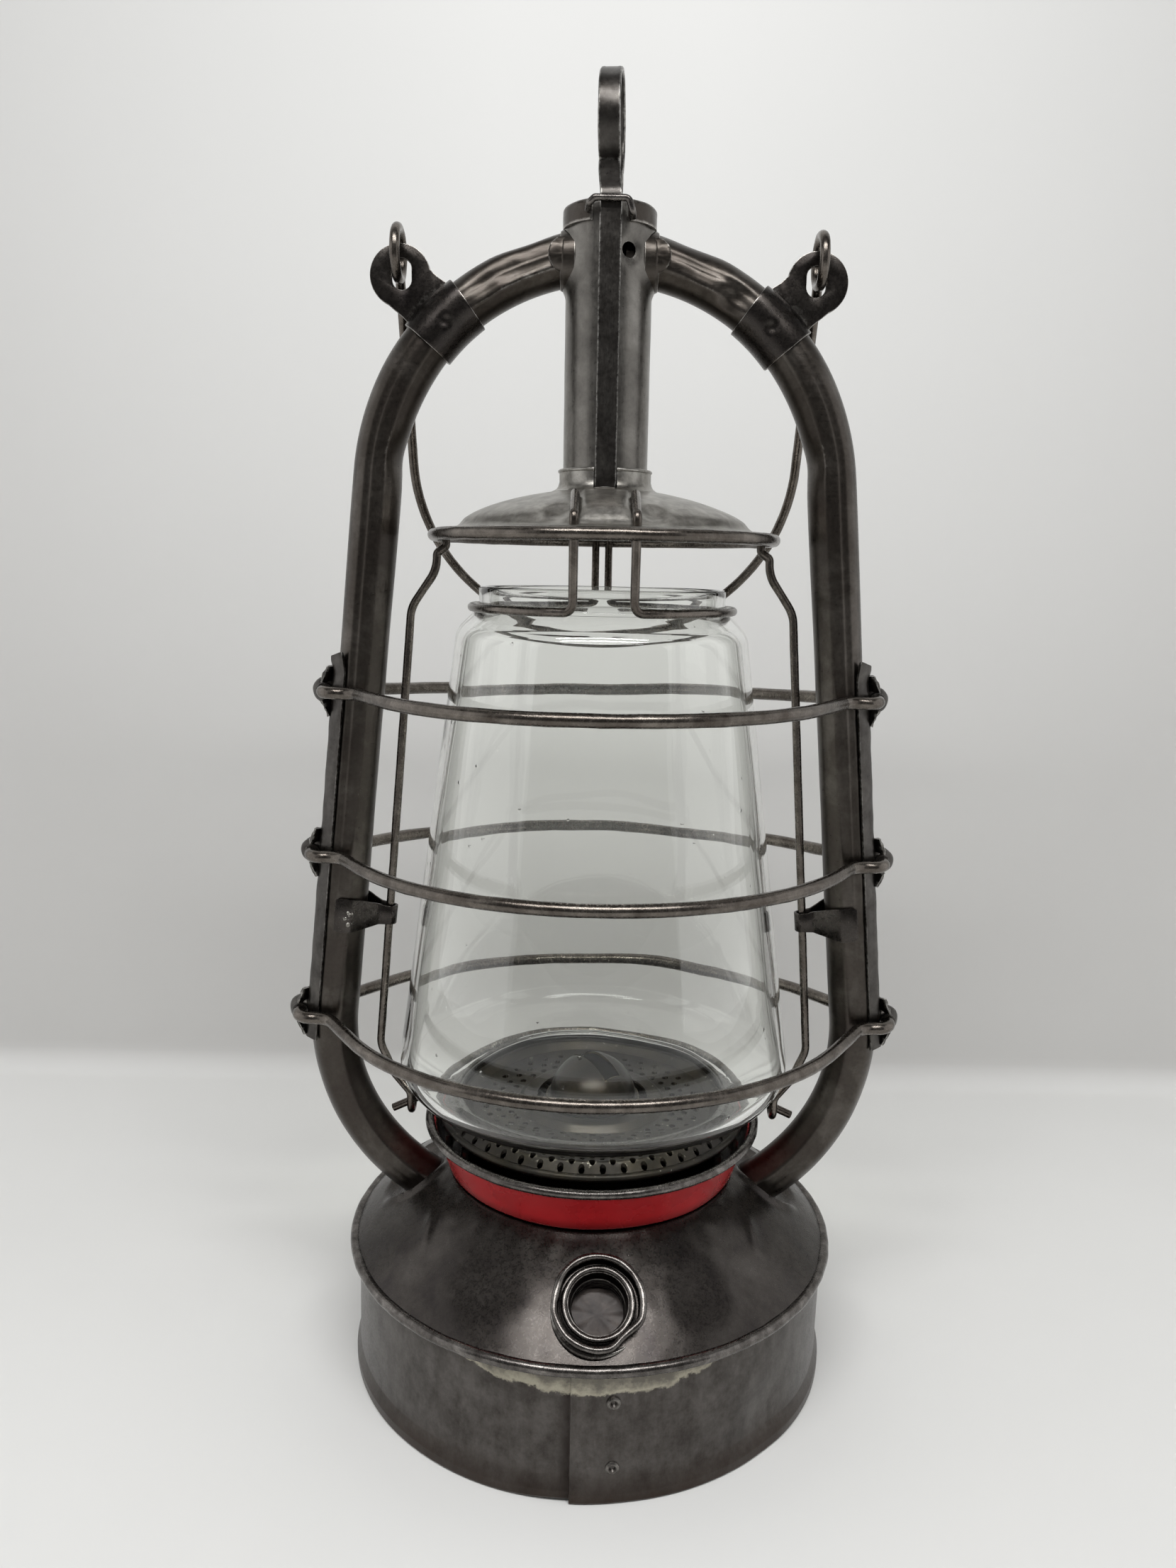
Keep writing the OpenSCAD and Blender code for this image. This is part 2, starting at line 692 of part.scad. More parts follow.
// Places children on the chimney wall at the vent, with Z pointing out
module at_vent()
    rotate(vent_turn)
        translate([0, -chimney_r, arch_z + arch_r - 0.5])
            rotate([90, 0, 0])
                children();

module chimney_cap() color("gray") difference() {
    r = chimney_r + fit + sheet / 2;
    z = chimney_top + fit + sheet / 2;
    spun([[0, z], [r, z], [r, z - cap_h]]);
    for (side = [0, 180])
        rotate(side)
            translate([-strip_w / 2 - slack, -chimney_r - 4, z - cap_h - 1])
                cube([strip_w + 2 * slack, 4, cap_h + 3]);
}

module cap_bridges() color("silver") {
    y = strap_y + strip_t / 2 + slack + sheet / 2;
    x = strip_w / 2 + slack + sheet;
    end_r = chimney_r + 2 * fit + 1.5 * sheet;
    for (side = [0, 180])
        rotate(side)
            translate([0, 0, chimney_top - 2])
                linear_extrude(2)
                    polygon(strip([end_r * [-sin(bridge_a), -cos(bridge_a)], [-x, -y], [x, -y],
                        end_r * [sin(bridge_a), -cos(bridge_a)]], sheet));
}

module right_bail_clip() color("gray") {
    wrap_a = clip_wrap / arch_r * 180 / PI;
    translate([0, 0, arch_z])
        rotate([90, 0, 0])
            rotate(ear_a - wrap_a / 2)
                rotate_extrude(angle = wrap_a, $fn = round_fn)
                    translate([arch_r, 0])
                        tube_section(tube_d + 2 * fit + 2 * sheet, tube_d + 2 * fit);
    translate([0, ear_t / 2, arch_z])
        rotate([90, 0, 0])
            linear_extrude(ear_t)
                rotate(ear_a)
                    difference() {
                        union() {
                            translate([ear_reach, 0])
                                circle(r = ear_r, $fn = round_fn);
                            translate([arch_r + tube_r + fit + sheet / 2, -6])
                                square([ear_r + 2, 12]);
                        }
                        translate([ear_reach, 0])
                            circle(d = bail_d + 4, $fn = 48);
                    }
}

module left_bail_clip() to_left() right_bail_clip();

module right_guide_clip() color("gray") {
    y = tube_r + fit + sheet / 2;
    gap = rod_d / 2 + slack + 0.2 + sheet / 2;
    loop_x = rod_x(guide_z) - tube_x(guide_z) - rod_d / 2 - slack - sheet / 2 + gap;
    side = [[1.2, -y], [-4, -y], [loop_x + 3, -gap]];
    translate([tube_x(guide_z), 0, guide_z])
        rotate([0, -flare, 0])
            linear_extrude(guide_l, center = true)
                polygon(strip(concat(side, arc([loop_x, 0], gap, 270, 90, 12),
                    [for (i = [2:-1:0]) [side[i][0], -side[i][1]]]), sheet));
}

module left_guide_clip() to_left() right_guide_clip();

module right_guard_strip() color("gray") {
    low = hoop_low_z - strip_below;
    top = hoop_top_z + strip_above;
    foot = [tube_x(tube_low_z) - (low - tube_low_z) * tan(flare), 0, low];
    difference() {
        union() {
            translate(foot)
                rotate([0, -flare, 0])
                    translate([tube_r + fit, 0, 0])
                        rotate([90, 0, 90])
                            linear_extrude(sheet)
                                polygon([[-guard_w / 2, 0], [guard_w / 2, 0],
                                    [guard_w / 2, (top - low) / cos(flare) - guard_w / 2],
                                    [0, (top - low) / cos(flare)],
                                    [-guard_w / 2, (top - low) / cos(flare) - guard_w / 2]]);
            for (z = [hoop_low_z, hoop_mid_z, hoop_top_z])
                translate([tube_x(z) + hoop_x_gap, 0, z])
                    difference() {
                        rotate([90, 0, 0])
                            rotate_extrude($fn = 64)
                                polygon(concat([[0, -knob_l / 2]],
                                    arc([knob_r - knob_l / 2, 0], knob_l / 2, -90, 90, 6),
                                    [[0, knob_l / 2]]));
                        translate([-knob_r - hoop_d / 2 - fit - sheet / 2, -10, -10])
                            cube([knob_r, 20, 20]);
                    }
        }
        for (z = [hoop_low_z, hoop_mid_z, hoop_top_z])
            translate([tube_x(z) + hoop_x_gap, 0, z])
                rotate([90, 0, 0])
                    cylinder(d = hoop_d + 0.9, h = 20, center = true, $fn = 48);
    }
}

module left_guard_strip() to_left() right_guard_strip();

// Front half of a guard hoop at height z, with gap g between the globe and its wire
module front_hoop(z, g) {
    front = globe_at(z) + g + hoop_d / 2;
    turn = hoop_turn;
    x = tube_x(z) + hoop_x_gap;
    y = tube_r + hoop_d / 2 + 0.6;
    knee_x = x - hoop_lead;
    r = (knee_x * sin(turn) - (front - y) * cos(turn)) / (1 - cos(turn));
    half = [[x, -0.25, z], [x, -y, z], [knee_x, -y, z]];
    swept(concat([for (p = half) [-p[0], p[1], p[2]]], [[0, r - front - r / cos(turn), z]],
        [for (i = [2:-1:0]) half[i]]), [5, 8, r, 8, 5], hoop_d);
}

// Rear half of a guard hoop, dipping behind the tubes
module rear_hoop(z, g)
    translate([0, 0, z])
        rotate([-hoop_drop, 0, 0])
            translate([0, 0, -z])
                mirror([0, 1, 0])
                    front_hoop(z, g);

module low_front_hoop() color("sienna") front_hoop(hoop_low_z, hoop_low_gap);

module low_rear_hoop() color("sienna") rear_hoop(hoop_low_z, hoop_low_gap);

module middle_front_hoop() color("sienna") front_hoop(hoop_mid_z, hoop_mid_gap);

module middle_rear_hoop() color("sienna") rear_hoop(hoop_mid_z, hoop_mid_gap);

module top_front_hoop() color("sienna") front_hoop(hoop_top_z, hoop_top_gap);

module top_rear_hoop() color("sienna") rear_hoop(hoop_top_z, hoop_top_gap);

module lift_strip() color("silver") {
    foot_z = bell_top_z - sheet / 2 - fit - strip_t / 2 - 0.2;
    leg = [[strap_y + 4.5, foot_z], [strap_y, foot_z], [strap_y, chimney_top + 2.5]];
    a = -acos(pinch_y / ring_mid_r);
    rotate([90, 0, 90])
        linear_extrude(strip_w, center = true)
            polygon(strip(concat(leg, arc([0, ring_z], ring_mid_r, a, 180 - a, 28),
                [for (i = [2:-1:0]) [-leg[i][0], leg[i][1]]]), strip_t));
}

module bell() color("lightgray") difference() {
    union() {
        translate([0, 0, bell_z])
            wire_ring(bell_rim_r, bell_rim_d);
        spun(concat([[bell_rim_r, bell_z + bell_rim_d / 2 - sheet / 2]],
            [for (a = [0:10:90]) [bell_collar_r + (bell_dome_r - bell_collar_r) * cos(a),
                bell_dome_z + bell_dome_h * sin(a)]],
            [[bell_collar_r, bell_top_z + bell_collar_h]]));
    }
    for (side = [0, 180])
        rotate(side)
            translate([-strip_w / 2 - fit, -strap_y - strip_t / 2 - fit, bell_dome_z])
                cube([strip_w + 2 * fit, strip_t + fit + slack, 40]);
    for (x = [-1, 1]) {
        translate([x * hook_x, neck_hook_y(hook_x, -1), bell_dome_z - 10])
            cylinder(d = rod_d + 2 * slack, h = 40, $fn = 32);
        translate([x * rear_hook_x, neck_hook_y(rear_hook_x, 1), bell_dome_z - 10])
            cylinder(d = rod_d + 2 * slack, h = 40, $fn = 32);
    }
}

// Angle on the neck ring where it leaves for a hook at distance x from the middle plane
function neck_angle(x) = asin(x / ring_wire_r) + 6;

// Distance along Y of a neck wire's hook, in front (side -1) or behind (side 1)
function neck_hook_y(x, side) =
    let (a = neck_angle(x))
    side * (ring_wire_r * sin(a) - x) / cos(a) * sin(a) + side * ring_wire_r * cos(a);

module right_neck_wire() color("silver") {
    front = [hook_x, neck_hook_y(hook_x, -1)];
    rear = [rear_hook_x, neck_hook_y(rear_hook_x, 1)];
    top = bell_at(front[1]) + sheet + rod_d / 2 + slack;
    corners = ring_corners([0, 0], ring_wire_r, neck_angle(hook_x) - 90, 90 - neck_angle(rear_hook_x), 4,
        ring_wire_z);
    swept(concat([[front[0] - 4.2, front[1], top], concat(front, top), concat(front, ring_wire_z)], corners,
        [concat(rear, ring_wire_z), concat(rear, top)]),
        concat([2, 2], [for (c = corners) ring_wire_r], [2]), rod_d);
}

module left_neck_wire() to_left() right_neck_wire();

module right_side_rod() color("gray") {
    hook_r = bell_rim_d / 2 + rod_d / 2 + fit;
    e = rod_eye_r;
    swept([[bell_rim_r - hook_r, 0, bell_z + 0.2], [bell_rim_r - hook_r, 0, bell_z - hook_r],
        [rod_top_x, 0, rod_top_z], [rod_knee_x, 0, rod_knee_z], [rod_low_x, 0, rod_low_z],
        [rod_eye_x, -e, rod_eye_z + e + 1], [rod_eye_x, -e, rod_eye_z - e],
        [rod_eye_x, e, rod_eye_z - e], [rod_eye_x, e, rod_eye_z + e], [rod_eye_x, 0.3 * e, rod_eye_z + e]],
        [2.6, 10, 8, 4, 3, e, e, 0.6 * e], rod_d);
}

module left_side_rod() to_left() right_side_rod();

module cradle_wire() color("gray") {
    tail = [[cradle_r + 13.5, 0, cradle_z - 4.2], [cradle_r + 4.5, 0, cradle_z], [cradle_r, 0, cradle_z]];
    corners = ring_corners([0, 3.3], cradle_r, 0, 180, 4, cradle_z);
    bent_wire(concat(tail, corners, [for (i = [2:-1:0]) [-tail[i][0], 0, tail[i][2]]]),
        concat([4, 3], [for (c = corners) cradle_r], [3, 4]), rod_d);
}

module globe_plate() color("darkgray") difference() {
    edge_r = plate_r - plate_bead_d / 2;
    flat_z = crown_z - 2.2;
    hole_r = post_r + 0.6 + sheet;
    union() {
        translate([0, 0, plate_z])
            wire_ring(edge_r, plate_bead_d);
        spun([[edge_r, plate_z], [foot_r + 0.4, crown_z], [foot_r - 4, crown_z], [foot_r - 6.5, flat_z],
            [hole_r + 6, flat_z], [hole_r + 4, crown_z], [hole_r, crown_z]]);
        for (side = [-1, 1])
            translate([side > 0 ? foot_r - 1 : -cradle_r - 1.6, 4, cradle_z + rod_d / 2 + fit])
                cube([cradle_r + 1.6 - foot_r + 1, 7, sheet]);
    }
    for (row = [0:2])
        for (i = [0:19])
            rotate((i + row / 2) * 18)
                translate([hole_r + 9 + 3.6 * row, 0, flat_z])
                    cylinder(d = 2.2, h = 6, center = true, $fn = 16);
}

module globe() color("lightcyan") {
    t = glass_t / 2;
    turn_r = belly_r - foot_r - 6;
    spun(concat([[foot_r - 3, globe_z + t]],
        [for (a = [-90:10:0]) [belly_r - turn_r + (turn_r - t) * cos(a), belly_z + (belly_h - t) * sin(a)]],
        [[shoulder_r - t, shoulder_z], [neck_r - t, neck_z], [neck_r - t, globe_top_z]]), glass_t);
}

module bail() color("gray") translate([0, 0, bail_z]) rotate([bail_rest, 0, 0]) {
    depth = bail_leg + bail_x;
    bent_wire([[-bail_x, 0, -eye_r], [-bail_x, 0, -depth], [bail_x, 0, -depth], [bail_x, 0, -eye_r]],
        [bail_x, bail_x], bail_d);
    for (side = [-1, 1])
        translate([side * bail_x, 0, 0])
            rotate([0, 90, 0])
                wire_ring(eye_r, bail_d);
}

fount_skirt();
skirt_rivets();
fount_bottom();
tank_top();
fount_dome();
filler_funnel();
air_chamber();
plate_supports();
burner_post();
burner_body();
wick_tube();
burner_cone();
left_side_tube();
right_side_tube();
left_tube_flange();
right_tube_flange();
chimney();
chimney_cap();
cap_bridges();
left_bail_clip();
right_bail_clip();
left_guide_clip();
right_guide_clip();
left_guard_strip();
right_guard_strip();
low_front_hoop();
low_rear_hoop();
middle_front_hoop();
middle_rear_hoop();
top_front_hoop();
top_rear_hoop();
lift_strip();
bell();
left_neck_wire();
right_neck_wire();
left_side_rod();
right_side_rod();
cradle_wire();
globe_plate();
globe();
bail();
wick_shaft();
wick_knob();
wick();
filler_gasket();
filler_plug();
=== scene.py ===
import math

import bmesh
import bpy
from mathutils import Matrix, Vector, noise


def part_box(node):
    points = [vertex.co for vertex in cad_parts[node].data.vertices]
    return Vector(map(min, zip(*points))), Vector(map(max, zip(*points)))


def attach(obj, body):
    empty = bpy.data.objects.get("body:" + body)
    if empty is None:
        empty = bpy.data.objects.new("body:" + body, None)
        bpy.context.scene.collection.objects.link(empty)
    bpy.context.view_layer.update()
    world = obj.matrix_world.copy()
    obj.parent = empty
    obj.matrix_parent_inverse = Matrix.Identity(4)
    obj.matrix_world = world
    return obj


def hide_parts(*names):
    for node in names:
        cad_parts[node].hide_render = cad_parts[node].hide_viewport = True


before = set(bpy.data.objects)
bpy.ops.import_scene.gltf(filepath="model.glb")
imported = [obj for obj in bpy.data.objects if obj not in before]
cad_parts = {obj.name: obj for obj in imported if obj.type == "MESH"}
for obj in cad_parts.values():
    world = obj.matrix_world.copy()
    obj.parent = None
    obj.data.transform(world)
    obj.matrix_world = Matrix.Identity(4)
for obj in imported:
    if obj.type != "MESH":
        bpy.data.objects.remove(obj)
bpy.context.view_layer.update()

bl_info = {
    "name": "Hot Blast Lantern",
    "version": (1, 0, 0),
    "blender": (4, 5, 0),
    "location": "View3D > Sidebar > Lantern",
    "description": "Builds an old oil lantern with its globe, guard wires and bail on the packed frame",
    "category": "Object",
}

MM = 0.001  # a millimetre in metres
SHEET = 0.8  # thickness of the sheet steel, in millimetres
FRONT = Vector((0, -1, 0))
UP = Vector((0, 0, 1))


def box_mm(node):
    """Lowest and highest corner of a CAD node, in millimetres"""
    low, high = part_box(node)
    return low / MM, high / MM


# Sizes in millimetres, read from the frame where a node gives them: R is a radius, Z a height, D a thickness of a
# wire or bead, T a wall, W a width and H a rise. Angles are in radians.
# Fount and red band.
RIM_Z = 41.6
SKIRT_R = 78.3
WAIST_R = 77.1
RIM_D = 3.4
DOME_TOP = 64.7
CHAMBER_FOOT_R = 47.6
CHAMBER_R = 52.3
BEAD_Z = 80.6
BEAD_D = 2.9
# Globe and the plate under it.
GLOBE_LOW, GLOBE_HIGH = (corner.z for corner in box_mm("globe"))
BELLY_R = box_mm("globe")[1].x
BELLY_Z = GLOBE_LOW + 9.5
SHOULDER_R = 45.0
SHOULDER_Z = GLOBE_HIGH - 13.9
NECK_R = 37.8
NECK_Z = GLOBE_HIGH - 6.8
GLASS_T = 2.6
PLATE_Z = 83.4
PLATE_R = 50.5
CROWN_Z = 86.8
CONE_Z = 87.0
CONE_R = 14
CONE_H = 13
BURNER_TURN = math.radians(40)
# Bell and chimney.
BELL_Z = 268.4
BELL_R = 53.4
BELL_RIM_D = 3.7
BELL_DOME_R = 43.7
BELL_DOME_Z = 271.4
BELL_DOME_H = 12.5
CHIMNEY_R = 12.7
COLLAR_R = CHIMNEY_R + 0.75
CHIMNEY_LOW, CHIMNEY_HIGH = (corner.z for corner in box_mm("chimney"))
# Side tubes.
TUBE_R = 7.5
FLARE = math.radians(5.5)
ARCH_R = 69.0
ARCH_Z = 280.18
FOOT_BEND = Vector((20.92, 0, 110.1))
FOOT_BEND_R = 64.5
FOOT_BEND_END = math.radians(-62)
TUBE_LOW_Z = 116.28
HUG_R = TUBE_R + 0.2 + SHEET / 2
# Filler.
FILLER_REACH = 65.5
FILLER_Z = 52.787
FILLER_TILT = math.radians(38)
FILLER_TURN = math.radians(2)
# Guard hoops and knobs.
HOOP_Z = {"low": 115.6, "middle": 168.9, "top": 220.4}
HOOP_GAP = {"low": 5.7, "middle": 6.7, "top": 14.6}
HOOP_DROP = math.radians(4.1)
KNOB_OUT = 10.7
# Lift rods.
ROD_R = 1.3
ROD_TOP = Vector((BELL_R + 5.2, 0, BELL_Z - 16))
ROD_KNEE = Vector((BELLY_R + 6.5, 0, BELLY_Z + 6.5))
# Bail and its ears.
EAR_TURN = math.radians(46)
EAR_R = 8.75
EAR_REACH = 87.75
EAR_T = 1.6
BAIL_R = 1.5
BAIL_X = 61.96
BAIL_Z = 349.1
BAIL_LEG = 63.0
BAIL_EYE_R = 7.0
BAIL_REST = math.radians(25)
# Lift strip and ring.
STRAP_Y = 13.55
STRIP_W = 6.3
STRIP_T = 1.0
RING_Z = 385.32
RING_MID_R = 13.5
PINCH_Y = 7.0

# The photograph's camera, found by matching the rims and tubes, in metres and pixels.
PHOTO_HEIGHT = 2212
PHOTO_FOCUS = 1650
CAMERA_PLACE = Vector((-0.00337, -0.3656, 0.2597))
CAMERA_PITCH = math.radians(10.51)
CAMERA_ROLL = math.radians(1.09)

# Paper sweep, in metres.
PAPER_HALF = 1.6
PAPER_HEIGHT = 1.9
PAPER_LEAN = 0.12
PAPER_BEND_R = 0.015


# Outlines and paths.


def arc(centre, radius, start, end, steps=10):
    """Points of a flat arc about a centre, with its angles in degrees"""
    angles = [math.radians(start + (end - start) * i / steps) for i in range(steps + 1)]
    return [(centre[0] + radius * math.cos(a), centre[1] + radius * math.sin(a)) for a in angles]


def rounded(points, radii, steps=8):
    """Path through the points with each inner corner turned into an arc"""
    points = [Vector(p) for p in points]
    path = [points[0]]
    for before, corner, after, radius in zip(points, points[1:], points[2:], radii):
        back, on = (before - corner).normalized(), (after - corner).normalized()
        half = back.angle(on) / 2
        centre = corner + (back + on).normalized() * radius / math.sin(half)
        start = corner + back * radius / math.tan(half) - centre
        end = corner + on * radius / math.tan(half) - centre
        path += [centre + radius * start.slerp(end, i / steps) for i in range(steps + 1)]
    return path + [points[-1]]


def strip(path, thickness):
    """Closed outline of a sheet of some thickness along a flat path"""
    path = [Vector(p) for p in path]
    offsets = []
    for i in range(len(path)):
        on = (path[min(i + 1, len(path) - 1)] - path[max(i - 1, 0)]).normalized()
        leg = (path[i] - path[i - 1]).normalized() if i else on
        offsets.append(Vector((-on.y, on.x)) * thickness / 2 / max(0.5, leg.dot(on)))
    left = [p + o for p, o in zip(path, offsets)]
    right = [p - o for p, o in zip(path, offsets)]
    return left + right[::-1]


def dense(path, step):
    """The path with more points on its long stretches"""
    path = [Vector(p) for p in path]
    points = []
    for here, there in zip(path, path[1:]):
        count = max(1, round((there - here).length / step))
        points += [here.lerp(there, i / count) for i in range(count)]
    return points + [path[-1]]


def ring(radius, count):
    """Flat round section"""
    return [(radius * math.cos(math.tau * i / count), radius * math.sin(math.tau * i / count)) for i in range(count)]


def bar_section(width, height, corner, steps=3):
    """Flat rectangular section with rounded corners"""
    x, y = width / 2 - corner, height / 2 - corner
    corners = [((x, y), 0), ((-x, y), 90), ((-x, -y), 180), ((x, -y), 270)]
    return [p for centre, a in corners for p in arc(centre, corner, a, a + 90, steps)]


def around(centre, radius, start, end, steps):
    """Points of an arc in the plane of the tubes"""
    turns = [start + (end - start) * i / steps for i in range(steps + 1)]
    return [centre + radius * Vector((math.cos(a), 0, math.sin(a))) for a in turns]


def tube_path():
    """Middle line of the right side tube, from the chimney down to the fount"""
    arch = around(Vector((0, 0, ARCH_Z)), ARCH_R, math.radians(86), FLARE, 48)
    foot = around(FOOT_BEND, FOOT_BEND_R, FLARE, FOOT_BEND_END, 40)
    straight = [arch[-1].lerp(foot[0], i / 40) for i in range(1, 40)]
    return arch + straight + foot


def tube_x(z):
    """Distance of a straight tube's middle from the centre line at a height"""
    return FOOT_BEND.x + FOOT_BEND_R * math.cos(FLARE) - (z - TUBE_LOW_Z) * math.tan(FLARE)


def tube_distance(point):
    """Distance from a point to the middle line of the nearer tube's lower bend"""
    across = math.hypot(abs(point.x) - FOOT_BEND.x, point.z - FOOT_BEND.z)
    return math.hypot(across - FOOT_BEND_R, point.y)


def dome_z(r):
    """Height of the fount's dome at a radius"""
    k = (SKIRT_R - r) / (SKIRT_R - CHAMBER_FOOT_R)
    return RIM_Z + (DOME_TOP - RIM_Z) * k + 6.4 * k * (1 - k)


def bell_z(r):
    """Height of the bell's dome at a radius"""
    k = min(1.0, max(0.0, (r - COLLAR_R) / (BELL_DOME_R - COLLAR_R)))
    return BELL_DOME_Z + (BELL_DOME_H - 2.1) * (1 - k ** 1.3) ** 0.65


def globe_r(z):
    """Outer radius of the globe's cone at a height"""
    return BELLY_R - (BELLY_R - SHOULDER_R) * (z - BELLY_Z) / (SHOULDER_Z - BELLY_Z)


def smooth(x):
    """Smooth step from 0 to 1"""
    x = min(1.0, max(0.0, x))
    return x * x * (3 - 2 * x)


# Shapes in a bmesh, in millimetres.


def turned(outline, segments=128, closed=True):
    """Turn an outline of radius and height about the Z axis"""
    bm = bmesh.new()
    verts = [bm.verts.new((p[0], 0, p[1])) for p in outline]
    pairs = list(zip(verts, verts[1:])) + ([(verts[-1], verts[0])] if closed else [])
    edges = [bm.edges.new(pair) for pair in pairs]
    bmesh.ops.spin(bm, geom=verts + edges, axis=UP, cent=(0, 0, 0), angle=math.tau, steps=segments,
                   use_merge=True)
    bmesh.ops.remove_doubles(bm, verts=bm.verts, dist=0.002)
    bmesh.ops.recalc_face_normals(bm, faces=bm.faces)
    return bm


def torus(radius, wire_r, z, segments=160, sides=20):
    """Round rim about the Z axis"""
    return turned([(radius + x, z + y) for x, y in ring(wire_r, sides)], segments)


def swept(path, section, up=UP, closed=False, size=None):
    """Carry a flat section along a path by extrusion, keeping its up side up"""
    path = [Vector(p) for p in path]
    last = len(path) - 1
    frames = []
    for i, point in enumerate(path):
        before, after = (i - 1, (i + 1) % len(path)) if closed else (max(i - 1, 0), min(i + 1, last))
        on = (path[after] - path[before]).normalized()
        up = (up - up.dot(on) * on).normalized()
        turn = Matrix((up.cross(on), up, on)).transposed().to_4x4()
        wide, high = size(i / last) if size else (1, 1)
        frames.append(Matrix.Translation(point) @ turn @ Matrix.Diagonal((wide, high, 1, 1)))
    bm = bmesh.new()
    verts = [bm.verts.new(frames[0] @ Vector((x, y, 0))) for x, y in section]
    first = edges = [bm.edges.new(pair) for pair in zip(verts, verts[1:] + verts[:1])]
    for here, there in zip(frames, frames[1:]):
        grown = bmesh.ops.extrude_edge_only(bm, edges=edges)["geom"]
        verts = [g for g in grown if isinstance(g, bmesh.types.BMVert)]
        fresh = set(verts)
        edges = [g for g in grown if isinstance(g, bmesh.types.BMEdge) and fresh.issuperset(g.verts)]
        bmesh.ops.transform(bm, matrix=there @ here.inverted(), verts=verts)
    if closed:
        bmesh.ops.bridge_loops(bm, edges=first + edges)
    else:
        for loop in (first, edges):
            bmesh.ops.edgeloop_fill(bm, edges=loop)
    bmesh.ops.recalc_face_normals(bm, faces=bm.faces)
    return bm


def block(centre, size):
    """Plain box about a centre"""
    bm = bmesh.new()
    bmesh.ops.create_cube(bm, size=1, matrix=Matrix.Translation(centre) @ Matrix.Diagonal((*size, 1)))
    return bm


def bolt(radius, length, place, segments):
    """Plain round bar about a place, along its Z axis"""
    bm = bmesh.new()
    bmesh.ops.create_cone(bm, cap_ends=True, segments=segments, radius1=radius, radius2=radius, depth=length,
                          matrix=place)
    return bm


def slab(outline, thickness, matrix=Matrix()):
    """Flat plate of an outline, extruded both ways from its middle plane"""
    bm = bmesh.new()
    face = bm.faces.new([bm.verts.new((p[0], p[1], -thickness / 2)) for p in outline])
    grown = bmesh.ops.extrude_face_region(bm, geom=[face])["geom"]
    bmesh.ops.translate(bm, vec=(0, 0, thickness), verts=[g for g in grown if isinstance(g, bmesh.types.BMVert)])
    bmesh.ops.recalc_face_normals(bm, faces=bm.faces)
    bmesh.ops.transform(bm, matrix=matrix, verts=bm.verts)
    return bm


def lump(centre, size, seed, detail=3, rough=0.25):
    """Uneven blob of solder or torn metal"""
    bm = bmesh.new()
    bmesh.ops.create_icosphere(bm, subdivisions=detail, radius=1)
    for v in bm.verts:
        v.co *= 1 + rough * noise.noise(v.co * 1.7 + Vector((seed, 2 * seed, 3 * seed)))
    bmesh.ops.transform(bm, matrix=Matrix.Translation(centre) @ Matrix.Diagonal((*size, 1)), verts=bm.verts)
    return bm


def join(*shapes):
    """One bmesh of several shapes"""
    whole = bmesh.new()
    for bm in shapes:
        part = bpy.data.meshes.new("part")
        bm.to_mesh(part)
        bm.free()
        whole.from_mesh(part)
        bpy.data.meshes.remove(part)
    return whole


def moved(bm, matrix):
    """The shape put in its place; a mirrored one gets its faces turned back"""
    bmesh.ops.transform(bm, matrix=matrix, verts=bm.verts)
    if matrix.determinant() < 0:
        bmesh.ops.reverse_faces(bm, faces=bm.faces)
    return bm


def at_filler():
    """Place of the filler, with its axis along Z"""
    lean = Matrix.Rotation(FILLER_TILT, 4, "X")
    return Matrix.Rotation(FILLER_TURN, 4, "Z") @ Matrix.Translation((0, -FILLER_REACH, FILLER_Z)) @ lean


def at_arch(turn):
    """Place on the right arch at an angle, with X pointing out, Y along it and Z to the front"""
    return Matrix.Translation((0, 0, ARCH_Z)) @ Matrix.Rotation(math.pi / 2, 4, "X") @ Matrix.Rotation(turn, 4, "Z")


def both_sides(bm):
    """The right shape and its mirrored left one"""
    return bm, moved(bm.copy(), Matrix.Diagonal((-1, 1, 1, 1)))


def cut(bm, tool):
    """Take the tool's volume out of a shape"""
    objects = []
    for shape in (bm, tool):
        mesh = bpy.data.meshes.new("cut")
        shape.to_mesh(mesh)
        shape.free()
        objects.append(bpy.data.objects.new("cut", mesh))
        bpy.context.scene.collection.objects.link(objects[-1])
    change = objects[0].modifiers.new("cut", "BOOLEAN")
    change.object = objects[1]
    change.solver = "EXACT"
    change.use_self = True
    result = bmesh.new()
    result.from_object(objects[0], bpy.context.evaluated_depsgraph_get())
    for obj in objects:
        mesh = obj.data
        bpy.data.objects.remove(obj)
        bpy.data.meshes.remove(mesh)
    return result


def ripple(bm, depth, size, seed=0.0):
    """Uneven hand-beaten surface: each point moves along its normal by a smooth noise"""
    bm.normal_update()
    for v in bm.verts:
        v.co += v.normal * depth * noise.noise(v.co / size + Vector((seed, seed * 1.3, seed * 0.7)))


def dent(bm, centre, radius, push):
    """Push the points near a centre, fading out at the radius"""
    centre, push = Vector(centre), Vector(push)
    for v in bm.verts:
        away = (v.co - centre).length / radius
        if away < 1:
            v.co += push * smooth(1 - away)


def soften(bm, width, segments=2, angle=35):
    """Bevel the sharp outer edges of a shape"""
    bm.normal_update()
    sharp = [e for e in bm.edges if e.is_manifold and e.calc_face_angle_signed(0) > math.radians(angle)]
    bmesh.ops.bevel(bm, geom=sharp, offset=width, offset_type="OFFSET", segments=segments, profile=0.5,
                    affect="EDGES", material=-1, clamp_overlap=True)
    return bm


def bulge(v):
    """How sharply the surface turns outwards at a vertex, in one over millimetres"""
    turns = [2 * v.normal.dot(v.co - e.other_vert(v).co) / max(e.calc_length(), 0.02) ** 2 for e in v.link_edges]
    return sum(turns) / len(turns) if turns else 0.0


